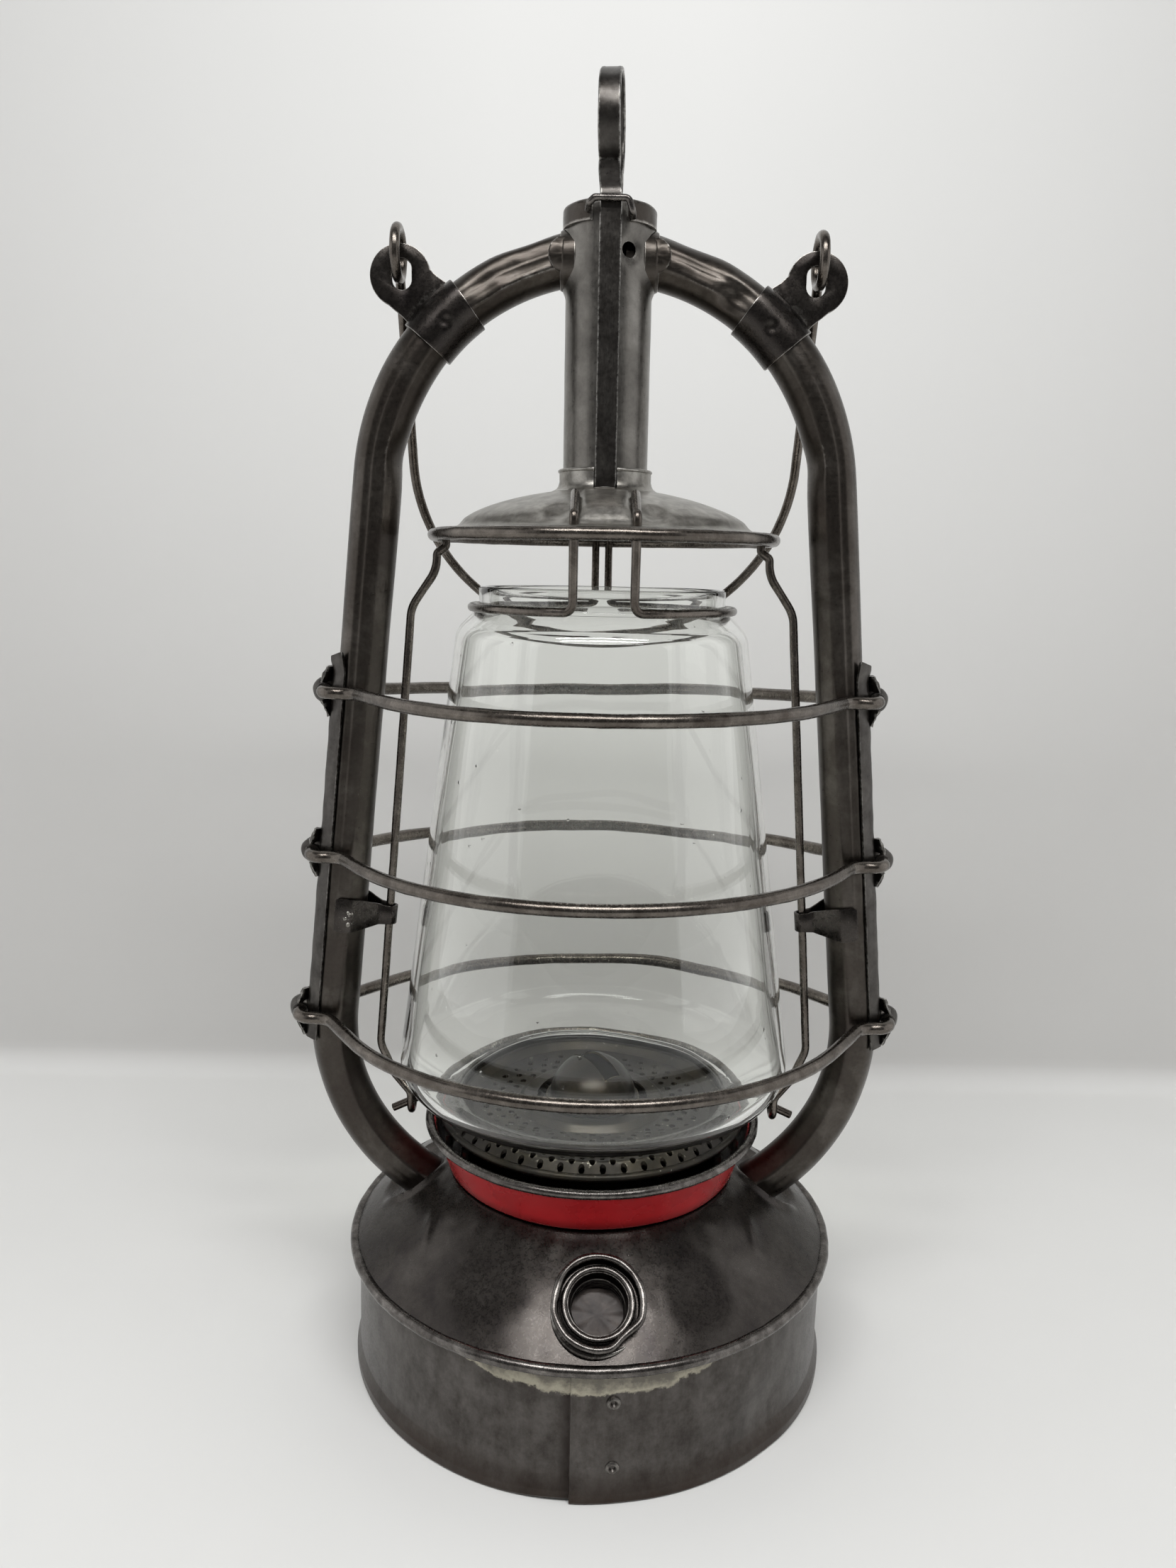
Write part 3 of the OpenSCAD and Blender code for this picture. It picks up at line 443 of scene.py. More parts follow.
def piece(name, bm, material, body, nodes=(), wear=0.8, crease=38):
    """Make a finished shape into an object that rides on a body in place of its nodes"""
    bmesh.ops.remove_doubles(bm, verts=bm.verts, dist=0.002)
    bm.normal_update()
    worn = [smooth(bulge(v) * wear) for v in bm.verts]
    bmesh.ops.scale(bm, vec=(MM, MM, MM), verts=bm.verts)
    mesh = bpy.data.meshes.new(name)
    bm.to_mesh(mesh)
    bm.free()
    mesh.attributes.new("wear", "FLOAT", "POINT").data.foreach_set("value", worn)
    mesh.polygons.foreach_set("use_smooth", [True] * len(mesh.polygons))
    mesh.set_sharp_from_angle(angle=math.radians(crease))
    mesh.materials.append(material)
    obj = bpy.data.objects.new(name, mesh)
    bpy.context.scene.collection.objects.link(obj)
    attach(obj, body)
    if nodes:
        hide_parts(*nodes)
    return obj


def pair(name, bm, material, body, slot, node, wear):
    """Make the right piece of a shape and its mirrored left one"""
    for side, shape in zip(("right", "left"), both_sides(bm)):
        piece(f"{side}_{name}", shape, material, body, [f"{side}_{node}"], wear)


def dress(material, *nodes):
    """Give CAD nodes that stay in view a finished material"""
    for node in nodes:
        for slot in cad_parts[node].material_slots:
            slot.material = material


# Materials.


def linear(code):
    """sRGB hex colour as linear red, green, blue and alpha"""
    channels = [int(code[i:i + 2], 16) / 255 for i in (1, 3, 5)]
    return tuple(c / 12.92 if c <= 0.04045 else ((c + 0.055) / 1.055) ** 2.4 for c in channels) + (1.0,)


def per_mm(size):
    """Texture scale of a pattern whose marks are this many millimetres across"""
    return 1 / (size * MM)


def feed(node, inputs):
    """Set the values of a node's inputs by name or place, and link those that come from another node"""
    for key, value in inputs.items() if isinstance(inputs, dict) else enumerate(inputs):
        if isinstance(value, bpy.types.NodeSocket):
            node.id_data.links.new(value, node.inputs[key])
        else:
            node.inputs[key].default_value = value


def add(tree, kind, inputs=(), stops=(), **settings):
    """Add a shader node with its settings, values, links and ramp stops, and return its first output in use"""
    node = tree.nodes.new("ShaderNode" + kind)
    for key, value in settings.items():
        setattr(node, key, value)
    feed(node, inputs)
    if stops:
        elements = node.color_ramp.elements
        while len(elements) < len(stops):
            elements.new(0.5)
        for element, (place, colour) in zip(elements, stops):
            element.position, element.color = place, colour
    return next((socket for socket in node.outputs if socket.enabled), node)


def surface(name, inputs=()):
    """New material with one Principled shader; returns the material, its tree, the shader and the output"""
    material = bpy.data.materials.new(name)
    material.use_nodes = True
    tree = material.node_tree
    tree.nodes.clear()
    shader = add(tree, "BsdfPrincipled", inputs)
    output = add(tree, "OutputMaterial", {"Surface": shader})
    return material, tree, shader.node, output


def grey(value):
    """Neutral ramp colour"""
    return (value, value, value, 1)


def object_space(tree, stretch=(1, 1, 1)):
    """Object coordinates, stretched where a pattern runs in one direction"""
    place = add(tree, "TexCoord").node.outputs["Object"]
    return add(tree, "Mapping", {"Vector": place, "Scale": stretch})


def patina(name, tones, patch=13, grit=0.6, rough=(0.2, 0.38), metallic=1.0, relief=0.05, stretch=(1, 1, 1), rub=0.9,
           film=0.15):
    """Aged bare metal under a film of oil: fine clouds, pits, brushed marks and bright worn edges

    The tones are the metal's dark, middle, light and worn colours. A patch of them and the grit of the brush are in
    millimetres, as is the depth of the relief. Returns the material, and its shader where the material is new.
    """
    found = bpy.data.materials.get(name)
    if found:
        return found, None
    dark, middle, light, worn = (linear(tone) if isinstance(tone, str) else tone for tone in tones)
    material, tree, shader, _ = surface(name, {"Metallic": metallic, "Coat Weight": film, "Coat Roughness": 0.2})
    space = object_space(tree)
    clouds = add(tree, "TexNoise", {"Vector": space, "Scale": per_mm(patch), "Detail": 6, "Roughness": 0.62,
                                    "Distortion": 0.3})
    stains = add(tree, "TexNoise", {"Vector": space, "Scale": per_mm(1.4), "Detail": 6, "Roughness": 0.7})
    pits = add(tree, "TexNoise", {"Vector": space, "Scale": per_mm(0.7), "Detail": 3, "Roughness": 0.65})
    lines = add(tree, "TexNoise", {"Vector": object_space(tree, stretch), "Scale": per_mm(grit), "Detail": 3,
                                   "Roughness": 0.6})
    mottled = add(tree, "ValToRGB", [clouds], [(0.32, dark), (0.5, middle), (0.7, light)])
    specks = add(tree, "ValToRGB", [stains], [(0.3, grey(0.6)), (0.6, grey(1.0))])
    mottled = add(tree, "Mix", {0: 0.5, 6: mottled, 7: specks}, data_type="RGBA", blend_type="MULTIPLY")
    edge = add(tree, "Attribute", attribute_name="wear").node.outputs["Fac"]
    ragged = add(tree, "Math", [edge, stains], operation="MULTIPLY")
    shine = add(tree, "ValToRGB", [ragged], [(0.2, grey(0)), (0.55, grey(rub))])
    gloss = add(tree, "Mix", {0: 0.5, 6: stains, 7: lines}, data_type="RGBA")
    height = add(tree, "Mix", {0: 0.5, 6: lines, 7: pits}, data_type="RGBA")
    feed(shader, {
        "Base Color": add(tree, "Mix", {0: shine, 6: mottled, 7: worn}, data_type="RGBA"),
        "Roughness": add(tree, "MapRange", [gloss, 0.32, 0.68, *rough]),
        "Normal": add(tree, "Bump", {"Height": height, "Strength": 0.5, "Distance": relief * MM}),
    })
    return material, shader


def oiled_sheet(name="oiled_sheet_steel"):
    """Rolled sheet steel, blackened and oiled: dark, half glossy, with brown clouds and pale rubbed edges"""
    tint = bpy.context.scene.lantern_colours
    return patina(name, ("#353130", tint.steel, "#4C4845", "#B8B5AF"))[0]


def rim_wear_and_sheen():
    """Rolled edge of the sheet steel: lighter than the sheet as a painted highlight, and rubbed bright in spots by
    handling
    """
    return patina("rim_steel_worn_and_sheen", ("#4A4643", "#625E5B", "#827E7A", "#D6D3CE"), patch=4, rough=(0.2, 0.34),
                  rub=0.6)[0]


def brushed_tube():
    """Drawn steel tube, brushed across by hand: the same dark steel with fine lines round the tube"""
    tint = bpy.context.scene.lantern_colours
    return patina("brushed_steel_tube", ("#403A36", tint.tube, "#5E5954", "#B4B0AA"), patch=16, grit=6,
                  stretch=(1, 1, 20), rough=(0.25, 0.42))[0]


def tinned_sheet():
    """Sheet steel with a dull coat of tin: pale grey with fine scratches and darker stains"""
    tint = bpy.context.scene.lantern_colours
    return patina("tinned_sheet_steel", ("#7E7B75", tint.tin, "#B2AFA9", "#E4E2DD"), patch=5, grit=3,
                  stretch=(1, 9, 9), rough=(0.26, 0.44), film=0.05)[0]


def folded_strip():
    """Steel strip folded at its edges and rubbed by hands: grey with bright edges"""
    tint = bpy.context.scene.lantern_colours
    return patina("folded_steel_strip", ("#3A3734", tint.strip, "#5C5955", "#D9D7D2"), patch=7, grit=2.5,
                  stretch=(8, 8, 1), rough=(0.24, 0.42))[0]


def drawn_wire():
    """Drawn steel wire, brown with age: dark with bright spots where it was handled"""
    tint = bpy.context.scene.lantern_colours
    return patina("drawn_steel_wire", ("#4F4842", tint.wire, "#7B746D", "#C6C2BB"), patch=7, grit=0.9,
                  rough=(0.18, 0.34), relief=0.07, rub=0.5)[0]


def aged_brass():
    """Spun brass, blackened by heat: brown-grey with a dull gold where it was rubbed"""
    return patina("heat_blackened_brass", ("#211E1A", "#2D2A25", "#3D3830", "#7D745E"), rough=(0.3, 0.5))[0]


def tinned_pipe():
    """Tinned steel of the chimney, dulled by smoke: grey, brushed lengthwise"""
    return patina("smoked_tinned_steel", ("#64615D", "#77746F", "#8B8883", "#CDCAC5"), grit=5, stretch=(14, 14, 1),
                  rough=(0.24, 0.4))[0]


def shaded_plug_steel():
    """Sheet steel of the screw plug, near black as painted shade of its deep cup"""
    return patina("painted_shade_plug_sheet", ("#191615", "#262220", "#35302D", "#8C8883"), patch=5, rough=(0.3, 0.5))[0]


def solder():
    """Tin solder laid on by hand: lumpy, dull grey with bright tops"""
    return patina("tin_solder", ("#4A4743", "#74716B", "#A8A59E", "#E2DFD8"), patch=3, grit=0.4, rough=(0.2, 0.4),
                  relief=0.12)[0]


def skirt_sheet():
    """Rolled sheet steel of the fount: soft grey, darker brown at its foot and by the seam, smeared with solder in
    front
    """
    tint = bpy.context.scene.lantern_colours
    material, shader = patina("fount_skirt_steel", ("#4C4845", tint.skirt, "#66625F", "#B4B1AB"), patch=12,
                              rough=(0.28, 0.46), film=0.1)
    if not shader:
        return material
    tree = material.node_tree
    tones = shader.inputs["Base Color"].links[0].from_socket
    space = object_space(tree)
    place = add(tree, "SeparateXYZ", [space]).node.outputs
    front = add(tree, "Math", [place["Y"], 0.0], operation="LESS_THAN")
    ragged = add(tree, "TexNoise", {"Vector": space, "Scale": per_mm(7), "Detail": 6, "Roughness": 0.7})
    streaks = add(tree, "TexNoise", {"Vector": object_space(tree, (1, 1, 0.4)), "Scale": per_mm(5), "Detail": 6,
                                     "Roughness": 0.7})
    streaks = add(tree, "Mix", {0: 0.5, 6: streaks, 7: ragged}, data_type="RGBA")
    streaks = add(tree, "ValToRGB", [streaks], [(0.36, linear("#958D87")), (0.58, grey(1.0))])
    tones = add(tree, "Mix", {0: 0.75, 6: tones, 7: streaks}, data_type="RGBA", blend_type="MULTIPLY")
    # Darker brown towards the foot, then in a band on the left of the seam.
    low = add(tree, "MapRange", [place["Z"], 11 * MM, 0.0, 0.0, 1.5])
    low = add(tree, "Math", [low, ragged], operation="MULTIPLY")
    beside = add(tree, "MapRange", [place["X"], -8.5 * MM, -5.4 * MM, 0.0, 1.6])
    left = add(tree, "Math", [place["X"], -5.12 * MM], operation="LESS_THAN")
    for limit in (left, front, ragged):
        beside = add(tree, "Math", [beside, limit], operation="MULTIPLY")
    for amount, brown_dark in ((low, "#33271F"), (beside, "#1F1713")):
        tones = add(tree, "Mix", {0: amount, 6: tones, 7: linear(brown_dark)}, data_type="RGBA")
    # Solder that ran down from the rim: lowest in the middle, with a ragged cream edge.
    across = add(tree, "Math", [place["X"]], operation="ABSOLUTE")
    rise = add(tree, "MapRange", [across, 0.0, 38 * MM, 0.0, 1.0])
    rise = add(tree, "Math", [rise, 3.0], operation="POWER")
    border = add(tree, "MapRange", [rise, 0.0, 1.0, 33.5 * MM, 39 * MM])
    reach = add(tree, "Math", [place["Z"], border], operation="SUBTRACT")
    uneven = add(tree, "MapRange", [ragged, 0.3, 0.7, -1.6 * MM, 1.6 * MM])
    reach = add(tree, "Math", [reach, uneven], operation="ADD")
    smear = add(tree, "MapRange", [reach, 0.0, 0.8 * MM, 0.0, 0.75])
    for limit in (front, add(tree, "MapRange", [across, 36 * MM, 40 * MM, 1.0, 0.0])):
        smear = add(tree, "Math", [smear, limit], operation="MULTIPLY")
    depth = add(tree, "MapRange", [reach, 0.0, 4 * MM, 0.0, 0.7])
    patchy = add(tree, "MapRange", [ragged, 0.35, 0.65, -0.2, 0.2])
    depth = add(tree, "Math", [depth, patchy], operation="ADD")
    cream = add(tree, "ValToRGB", [depth], [(0.1, linear("#B9B39F")), (0.75, tint.solder)])
    feed(shader, {
        "Base Color": add(tree, "Mix", {0: smear, 6: tones, 7: cream}, data_type="RGBA"),
        "Metallic": add(tree, "MapRange", [smear, 0.0, 0.75, 0.95, 0.45]),
    })
    return material


def red_enamel():
    """Stoved enamel on sheet steel: deep red gloss, a little cloudy, scuffed, with painted shade at its foot and under
    its bead, and dark inside
    """
    tint = bpy.context.scene.lantern_colours
    material, tree, shader, _ = surface("stoved_red_enamel", {"Coat Weight": 0.6, "Coat Roughness": 0.1})
    space = object_space(tree)
    place = add(tree, "SeparateXYZ", [space]).node.outputs
    clouds = add(tree, "TexNoise", {"Vector": space, "Scale": per_mm(14), "Detail": 4, "Roughness": 0.5})
    peel = add(tree, "TexNoise", {"Vector": space, "Scale": per_mm(1.8), "Detail": 2, "Roughness": 0.5})
    scuffs = add(tree, "TexNoise", {"Vector": object_space(tree, (1, 1, 7)), "Scale": per_mm(4), "Detail": 5,
                                    "Roughness": 0.7})
    tones = add(tree, "ValToRGB", [clouds], [(0.2, linear("#A31F23")), (0.7, tint.enamel)])
    # Painted shade: darker red towards the band's foot and under its bead.
    foot = add(tree, "MapRange", [place["Z"], 69.2 * MM, 65.5 * MM, 0.0, 0.7])
    painted_shade_under_bead = add(tree, "MapRange", [place["Z"], 76.5 * MM, 79 * MM, 0.0, 0.6])
    rubbed = add(tree, "MapRange", [scuffs, 0.6, 0.85, 0.0, 0.14])
    squares = [add(tree, "Math", [place[side], 2.0], operation="POWER") for side in "XY"]
    reach = add(tree, "Math", [add(tree, "Math", squares, operation="ADD")], operation="SQRT")
    wall = add(tree, "MapRange", [place["Z"], 65.2 * MM, 79.4 * MM, 47.2 * MM, 51.9 * MM])
    inside = add(tree, "Math", [reach, wall], operation="LESS_THAN")
    for amount, tone in ((foot, "#4E0D10"), (painted_shade_under_bead, "#5E1013"), (rubbed, "#C05A58"), (inside, "#1B1715")):
        tones = add(tree, "Mix", {0: amount, 6: tones, 7: linear(tone)}, data_type="RGBA")
    feed(shader, {
        "Base Color": tones,
        "Roughness": add(tree, "MapRange", [clouds, 0.3, 0.7, 0.2, 0.34]),
        "Normal": add(tree, "Bump", {"Height": peel, "Strength": 0.1, "Distance": 0.03 * MM}),
    })
    return material


def pressed_glass():
    """Glass pressed in a mould: clear, faintly grey-green, with seeds, soft waves and lamps shining through"""
    tint = bpy.context.scene.lantern_colours
    material, tree, shader, output = surface("pressed_clear_glass", {"Base Color": tint.glass,
                                                                     "Transmission Weight": 1.0, "IOR": 1.5})
    space = object_space(tree)
    waves = add(tree, "TexNoise", {"Vector": object_space(tree, (1, 1, 0.5)), "Scale": per_mm(24), "Detail": 2,
                                   "Roughness": 0.4})
    dust = add(tree, "TexNoise", {"Vector": space, "Scale": per_mm(9), "Detail": 6, "Roughness": 0.7})
    seeds = add(tree, "TexVoronoi", {"Vector": space, "Scale": per_mm(11)})
    seeds = add(tree, "MapRange", [seeds, 0.0, 0.06, 1.0, 0.0])
    height = add(tree, "Math", [waves, seeds], operation="ADD")
    feed(shader, {
        "Normal": add(tree, "Bump", {"Height": height, "Strength": 0.3, "Distance": 0.45 * MM}),
        "Roughness": add(tree, "MapRange", [dust, 0.5, 0.85, 0.0, 0.06]),
    })
    clear = add(tree, "BsdfTransparent", {"Color": tint.glass})
    shadow = add(tree, "LightPath").node.outputs["Is Shadow Ray"]
    feed(output, {"Surface": add(tree, "MixShader", [shadow, shader.outputs[0], clear])})
    return material


def dusty_plate():
    """Punched sheet steel under the globe: dull grey, yellowed by heat, with pale corrosion spots"""
    material, shader = patina("punched_plate_steel", ("#1F1D1A", "#2C2926", "#3B3731", "#7C776B"), rough=(0.36, 0.55),
                              metallic=0.9, film=0.1)
    tree = material.node_tree
    tones = shader.inputs["Base Color"].links[0].from_socket
    space = object_space(tree)
    heat = add(tree, "TexNoise", {"Vector": space, "Scale": per_mm(15), "Detail": 3, "Roughness": 0.6})
    heat = add(tree, "MapRange", [heat, 0.45, 0.7, 0.0, 0.25])
    spots = add(tree, "TexNoise", {"Vector": space, "Scale": per_mm(2.4), "Detail": 5, "Roughness": 0.75})
    spots = add(tree, "MapRange", [spots, 0.64, 0.7, 0.0, 0.7])
    for amount, tone in ((heat, "#4E4630"), (spots, "#B9B4A8")):
        tones = add(tree, "Mix", {0: amount, 6: tones, 7: linear(tone)}, data_type="RGBA")
    feed(shader, {"Base Color": tones})
    return material


def woven_cotton():
    """Flat woven cotton wick: cream, charred at its lit end, threads drawn at twice their size to show"""
    material, tree, shader, _ = surface("woven_cotton_wick", {"Sheen Weight": 0.3, "Roughness": 0.9})
    space = object_space(tree)
    height = add(tree, "SeparateXYZ", [space]).node.outputs["Z"]
    thread = add(tree, "TexWave", {"Vector": space, "Scale": per_mm(9), "Distortion": 1.5}, bands_direction="Z")
    char = add(tree, "MapRange", [height, 89 * MM, 92 * MM, 0.0, 1.0])
    tones = add(tree, "ValToRGB", [thread], [(0.1, linear("#A89A80")), (0.7, linear("#D8CDB6"))])
    feed(shader, {
        "Base Color": add(tree, "Mix", {0: char, 6: tones, 7: linear("#1A1715")}, data_type="RGBA"),
        "Normal": add(tree, "Bump", {"Height": thread, "Strength": 0.6, "Distance": 0.2 * MM}),
    })
    return material


def cut_rubber():
    """Cut rubber ring: matt black-brown with fine grit"""
    material, tree, shader, _ = surface("cut_rubber_seal", {"Roughness": 0.75})
    grit = add(tree, "TexNoise", {"Vector": object_space(tree), "Scale": per_mm(0.8), "Detail": 4, "Roughness": 0.7})
    feed(shader, {
        "Base Color": add(tree, "ValToRGB", [grit], [(0.3, linear("#15110E")), (0.7, linear("#2D2620"))]),
        "Normal": add(tree, "Bump", {"Height": grit, "Strength": 0.4, "Distance": 0.05 * MM}),
    })
    return material


# Pieces.


def make_skirt():
    """Skirt of the fount, its lap seam and its two dimpled rivets"""
    wall = SKIRT_R - SHEET / 2
    waist = WAIST_R - SHEET / 2
    segments = 256
    path = rounded([(wall - 1.1, 4), (wall - 1.1, 0.45), (wall, 0.45), (wall, 3.2), (waist, 7.5),
                    (waist, RIM_Z - RIM_D / 2)], (0.4, 0.4, 1.5, 3))
    skirt = turned(strip(dense(path, 1.6), SHEET), segments)
    ripple(skirt, 0.3, 26, 3.1)
    dent(skirt, (52, -56, 12), 16, (-0.8, 0.8, 0))
    dent(skirt, (-30, -70, 20), 18, (0.3, 0.8, 0))
    # The sheet's end stands over its start at the seam and fades out round the skirt, and its foot lifts a little.
    seam, overlap, lap, foot = math.radians(-93.7), 0.6, 0.9, 6
    for v in skirt.verts:
        past = (math.atan2(v.co.y, v.co.x) - seam + math.pi) % math.tau - math.pi
        if abs(past) < math.tau / segments:
            past = math.copysign(0.0012, past)
        lift = lap * smooth(1 - past / overlap) if past > 0 else 0.0
        raised = lap * smooth(1 + past / 0.3) * smooth((foot - v.co.z) / foot) if past < 0 else 0.0
        reach = v.co.xy.length + lift
        v.co = reach * math.cos(seam + past), reach * math.sin(seam + past), max(0.0, v.co.z + raised)
    piece("fount_skirt_sheet", skirt, skirt_sheet(), "frame", ["fount_skirt"])
    dimple = [(0, -0.9), (0, -0.4), (0.5, -0.3), (0.95, 0.4), (1.4, 0.5), (1.95, 0.15), (2.15, -0.9)]
    rivets = []
    for z in (11, 31.5):
        place = Matrix.Rotation(math.radians(5.2), 4, "Z") @ Matrix.Translation((0, -WAIST_R - 0.85, z))
        rivets.append(moved(turned(dimple, 40), place @ Matrix.Rotation(math.pi / 2, 4, "X")))
    piece("skirt_dimple_rivets", join(*rivets), skirt_sheet(), "frame", ["skirt_rivets"])


def make_dome():
    """Dome of the fount with its rolled rim, sunk and creased where the tubes go in"""
    steps = 64
    radii = [SKIRT_R + (CHAMBER_FOOT_R - 3 - SKIRT_R) * i / steps for i in range(steps + 1)]
    dome = turned(strip([(r, dome_z(r) if r > CHAMBER_FOOT_R else DOME_TOP) for r in radii], SHEET), 320)
    ripple(dome, 0.3, 20, 7.7)
    ripple(dome, 0.06, 4.5, 2.2)
    dent(dome, (-30, -58, dome_z(65)), 15, (0, 0.4, -0.7))
    dent(dome, (32, -58, dome_z(66)), 12, (0, 0.3, -0.6))
    # Sunk round the foot of each tube with a lip beside it, creased in front of it and puckered near the band.
    for v in dome.verts:
        reach = v.co.xy.length
        turn = math.degrees(math.atan2(abs(v.co.x), -v.co.y))
        away = tube_distance(v.co)
        beside = smooth((abs(v.co.y) / max(away, 0.1) - 0.45) / 0.4)
        sunk = -3.2 * smooth((13.2 - away) / 6) * smooth((reach - 46) / 4)
        lip = 1.5 * beside * math.exp(-((away - 13.6) / 1.5) ** 2)
        crease = 0.9 * math.exp(-((turn - 62 + 0.85 * (reach - 54)) / 2.4) ** 2 - ((reach - 60) / 5) ** 2)
        pucker = 0.12 * math.sin(0.63 * turn + 2 * noise.noise(v.co / 9)) * math.exp(-((reach - 52) / 3.5) ** 2)
        v.co.z += sunk + lip + crease + pucker
    dome = cut(dome, bolt(10.5, 22, at_filler(), 96))
    piece("fount_dome_sheet", dome, oiled_sheet(), "frame", ["fount_dome"], wear=1.2)
    rim = torus(SKIRT_R, RIM_D / 2, RIM_Z, 320)
    ripple(rim, 0.16, 5, 4.4)
    piece("fount_rolled_rim", rim, rim_wear_and_sheen(), "frame", wear=0.5)


def make_filler():
    """Drip collar, filler neck and screw plug, each with a rolled lip"""
    wall = 12.45
    neck = 10.1
    path = rounded([(wall, 4), (wall, 0.4), (neck + 0.6, 0.2), (neck, -1), (neck, -9)], (1.2, 0.5, 0.6))
    collar, lip = turned(strip(dense(path, 0.8), SHEET), 128), torus(wall + 0.3, 0.95, 4, 128)
    for shape in (collar, lip):
        ripple(shape, 0.2, 4, 6.3)
        dent(shape, (8.2, -9.8, 4), 7, (-1.0, 1.2, -0.6))
        dent(shape, (-11.5, 3, 4), 6, (0.5, -0.2, 0.4))
    bank = [Vector((13.1 * math.cos(a), 13.1 * math.sin(a), 0.2))
            for a in (math.radians(175 + 130 * i / 24) for i in range(25))]
    swell = swept(bank, ring(1.3, 12), size=lambda t: (0.15 + math.sin(math.pi * t),) * 2)
    piece("filler_drip_collar", moved(join(collar, swell), at_filler()), oiled_sheet(), "frame",
          ["filler_funnel"], wear=1.1)
    piece("drip_collar_lip", moved(lip, at_filler()), rim_wear_and_sheen(), "frame", wear=0.5)
    lip_z, foot, crest, pitch, turns = 2.65, -6.85, 8.95, 2.0, 3
    heights = [foot + 0.4 + turns * pitch * i / 36 for i in range(37)]
    thread = [(crest - 0.45 - 0.45 * math.cos(math.tau * (z - foot) / pitch), z) for z in heights]
    floor = rounded([(0, foot), (crest - 1.2, foot), (crest - 0.6, foot + 0.4)], (0.5,))
    cup = turned(strip([tuple(p) for p in floor[:-1]] + thread + [(crest, lip_z)], SHEET), 96)
    lip = torus(9.75, 0.95, lip_z, 96)
    for shape in (cup, lip):
        ripple(shape, 0.1, 3, 1.7)
    piece("screw_plug_cup", moved(cup, at_filler()), shaded_plug_steel(), "plug", ["filler_plug"], wear=1.1)
    piece("screw_plug_lip", moved(lip, at_filler()), rim_wear_and_sheen(), "plug", wear=0.4)


def make_air_chamber():
    """Red band under the globe and its rolled bead"""
    foot = DOME_TOP + SHEET + 0.2
    path = rounded([(CHAMBER_FOOT_R - 4, foot), (CHAMBER_FOOT_R - 0.4, foot), (CHAMBER_R - 0.4, BEAD_Z - 1.2),
                    (CHAMBER_R + 1, BEAD_Z)], (1.2, 2.0))
    band = turned(strip(dense(path, 1.2), SHEET), 192)
    ripple(band, 0.15, 20, 2.9)
    piece("enamelled_air_band", band, red_enamel(), "frame", ["air_chamber"], wear=0.0)
    bead = torus(CHAMBER_R + BEAD_D / 2, BEAD_D / 2, BEAD_Z, 224)
    ripple(bead, 0.12, 6, 8.2)
    piece("air_band_bead", bead, rim_wear_and_sheen(), "frame", wear=0.4)


def make_plate():
    """Punched plate under the globe, with its rolled edge"""
    flat = CROWN_Z - 2.2
    hole = 18.4
    path = rounded([(PLATE_R - 1.2, PLATE_Z), (46.4, CROWN_Z), (42, CROWN_Z), (39.5, flat), (hole + 6, flat),
                    (hole + 4, CROWN_Z), (hole, CROWN_Z)], (0.8, 0.8, 0.8, 0.8, 0.8))
    plate = turned(strip(dense(path, 1.5), SHEET), 180)
    rows = [(hole + 9 + 3.6 * row, 36, 2.2, flat) for row in range(3)]
    rows += [(44.4, 48, 2.0, CROWN_Z), (46.3, 48, 2.0, CROWN_Z - 0.4), (48.0, 48, 2.0, CROWN_Z - 2)]
    punches = []
    for number, (radius, count, width, z) in enumerate(rows):
        for i in range(count):
            a = math.tau * (i + number % 2 / 2) / count
            place = Matrix.Translation((radius * math.cos(a), radius * math.sin(a), z))
            punches.append(bolt(width / 2, 4, place, 10))
    plate = cut(plate, join(*punches))
    plate = join(plate, torus(PLATE_R - 1.2, 1.2, PLATE_Z, 180, 14))
    piece("punched_globe_plate", plate, dusty_plate(), "carriage", ["globe_plate"])


def make_burner():
    """Burner cone with its wick slot; the burner's hidden pieces keep their solids"""
    turns = [math.radians(4 * i) for i in range(22)]
    path = [(CONE_R + 1.6, CONE_Z)] + [(CONE_R * math.cos(a), CONE_Z + CONE_H * math.sin(a)) for a in turns]
    cone = turned(strip(path + [(0, CONE_Z + CONE_H)], SHEET), 96)
    ripple(cone, 0.15, 7, 5.5)
    slot = moved(block((0, 0, CONE_Z + 17), (6.4, 20, 32)), Matrix.Rotation(BURNER_TURN, 4, "Z"))
    cone = cut(cone, slot)
    piece("burner_cone_cap", cone, aged_brass(), "frame", ["burner_cone"])
    dress(aged_brass(), "burner_post", "burner_body", "wick_tube", "wick_shaft", "wick_knob")
    dress(woven_cotton(), "wick")


def make_globe():
    """Clear glass globe: a narrow foot, a sloping floor up to the belly, a long cone and a plain neck"""
    t = GLASS_T / 2
    path = rounded([(42.6, GLOBE_LOW + t), (45.2, GLOBE_LOW + t), (BELLY_R - t - 0.2, BELLY_Z + 1.8),
                    (SHOULDER_R - t, SHOULDER_Z), (NECK_R - t, NECK_Z), (NECK_R - t, GLOBE_HIGH)],
                   (3, 8, 7, 2.2), 10)
    globe = turned(strip(dense(path, 3), GLASS_T), 192)
    for v in globe.verts:
        side = abs(math.atan2(v.co.y, abs(v.co.x)))
        v.co.xy += v.co.xy.normalized() * 0.25 * smooth(1 - side / 0.03)
    ripple(globe, 0.18, 30, 9.1)
    soften(globe, 0.9, 3, 50)
    piece("pressed_glass_globe", globe, pressed_glass(), "carriage", ["globe"], crease=60)


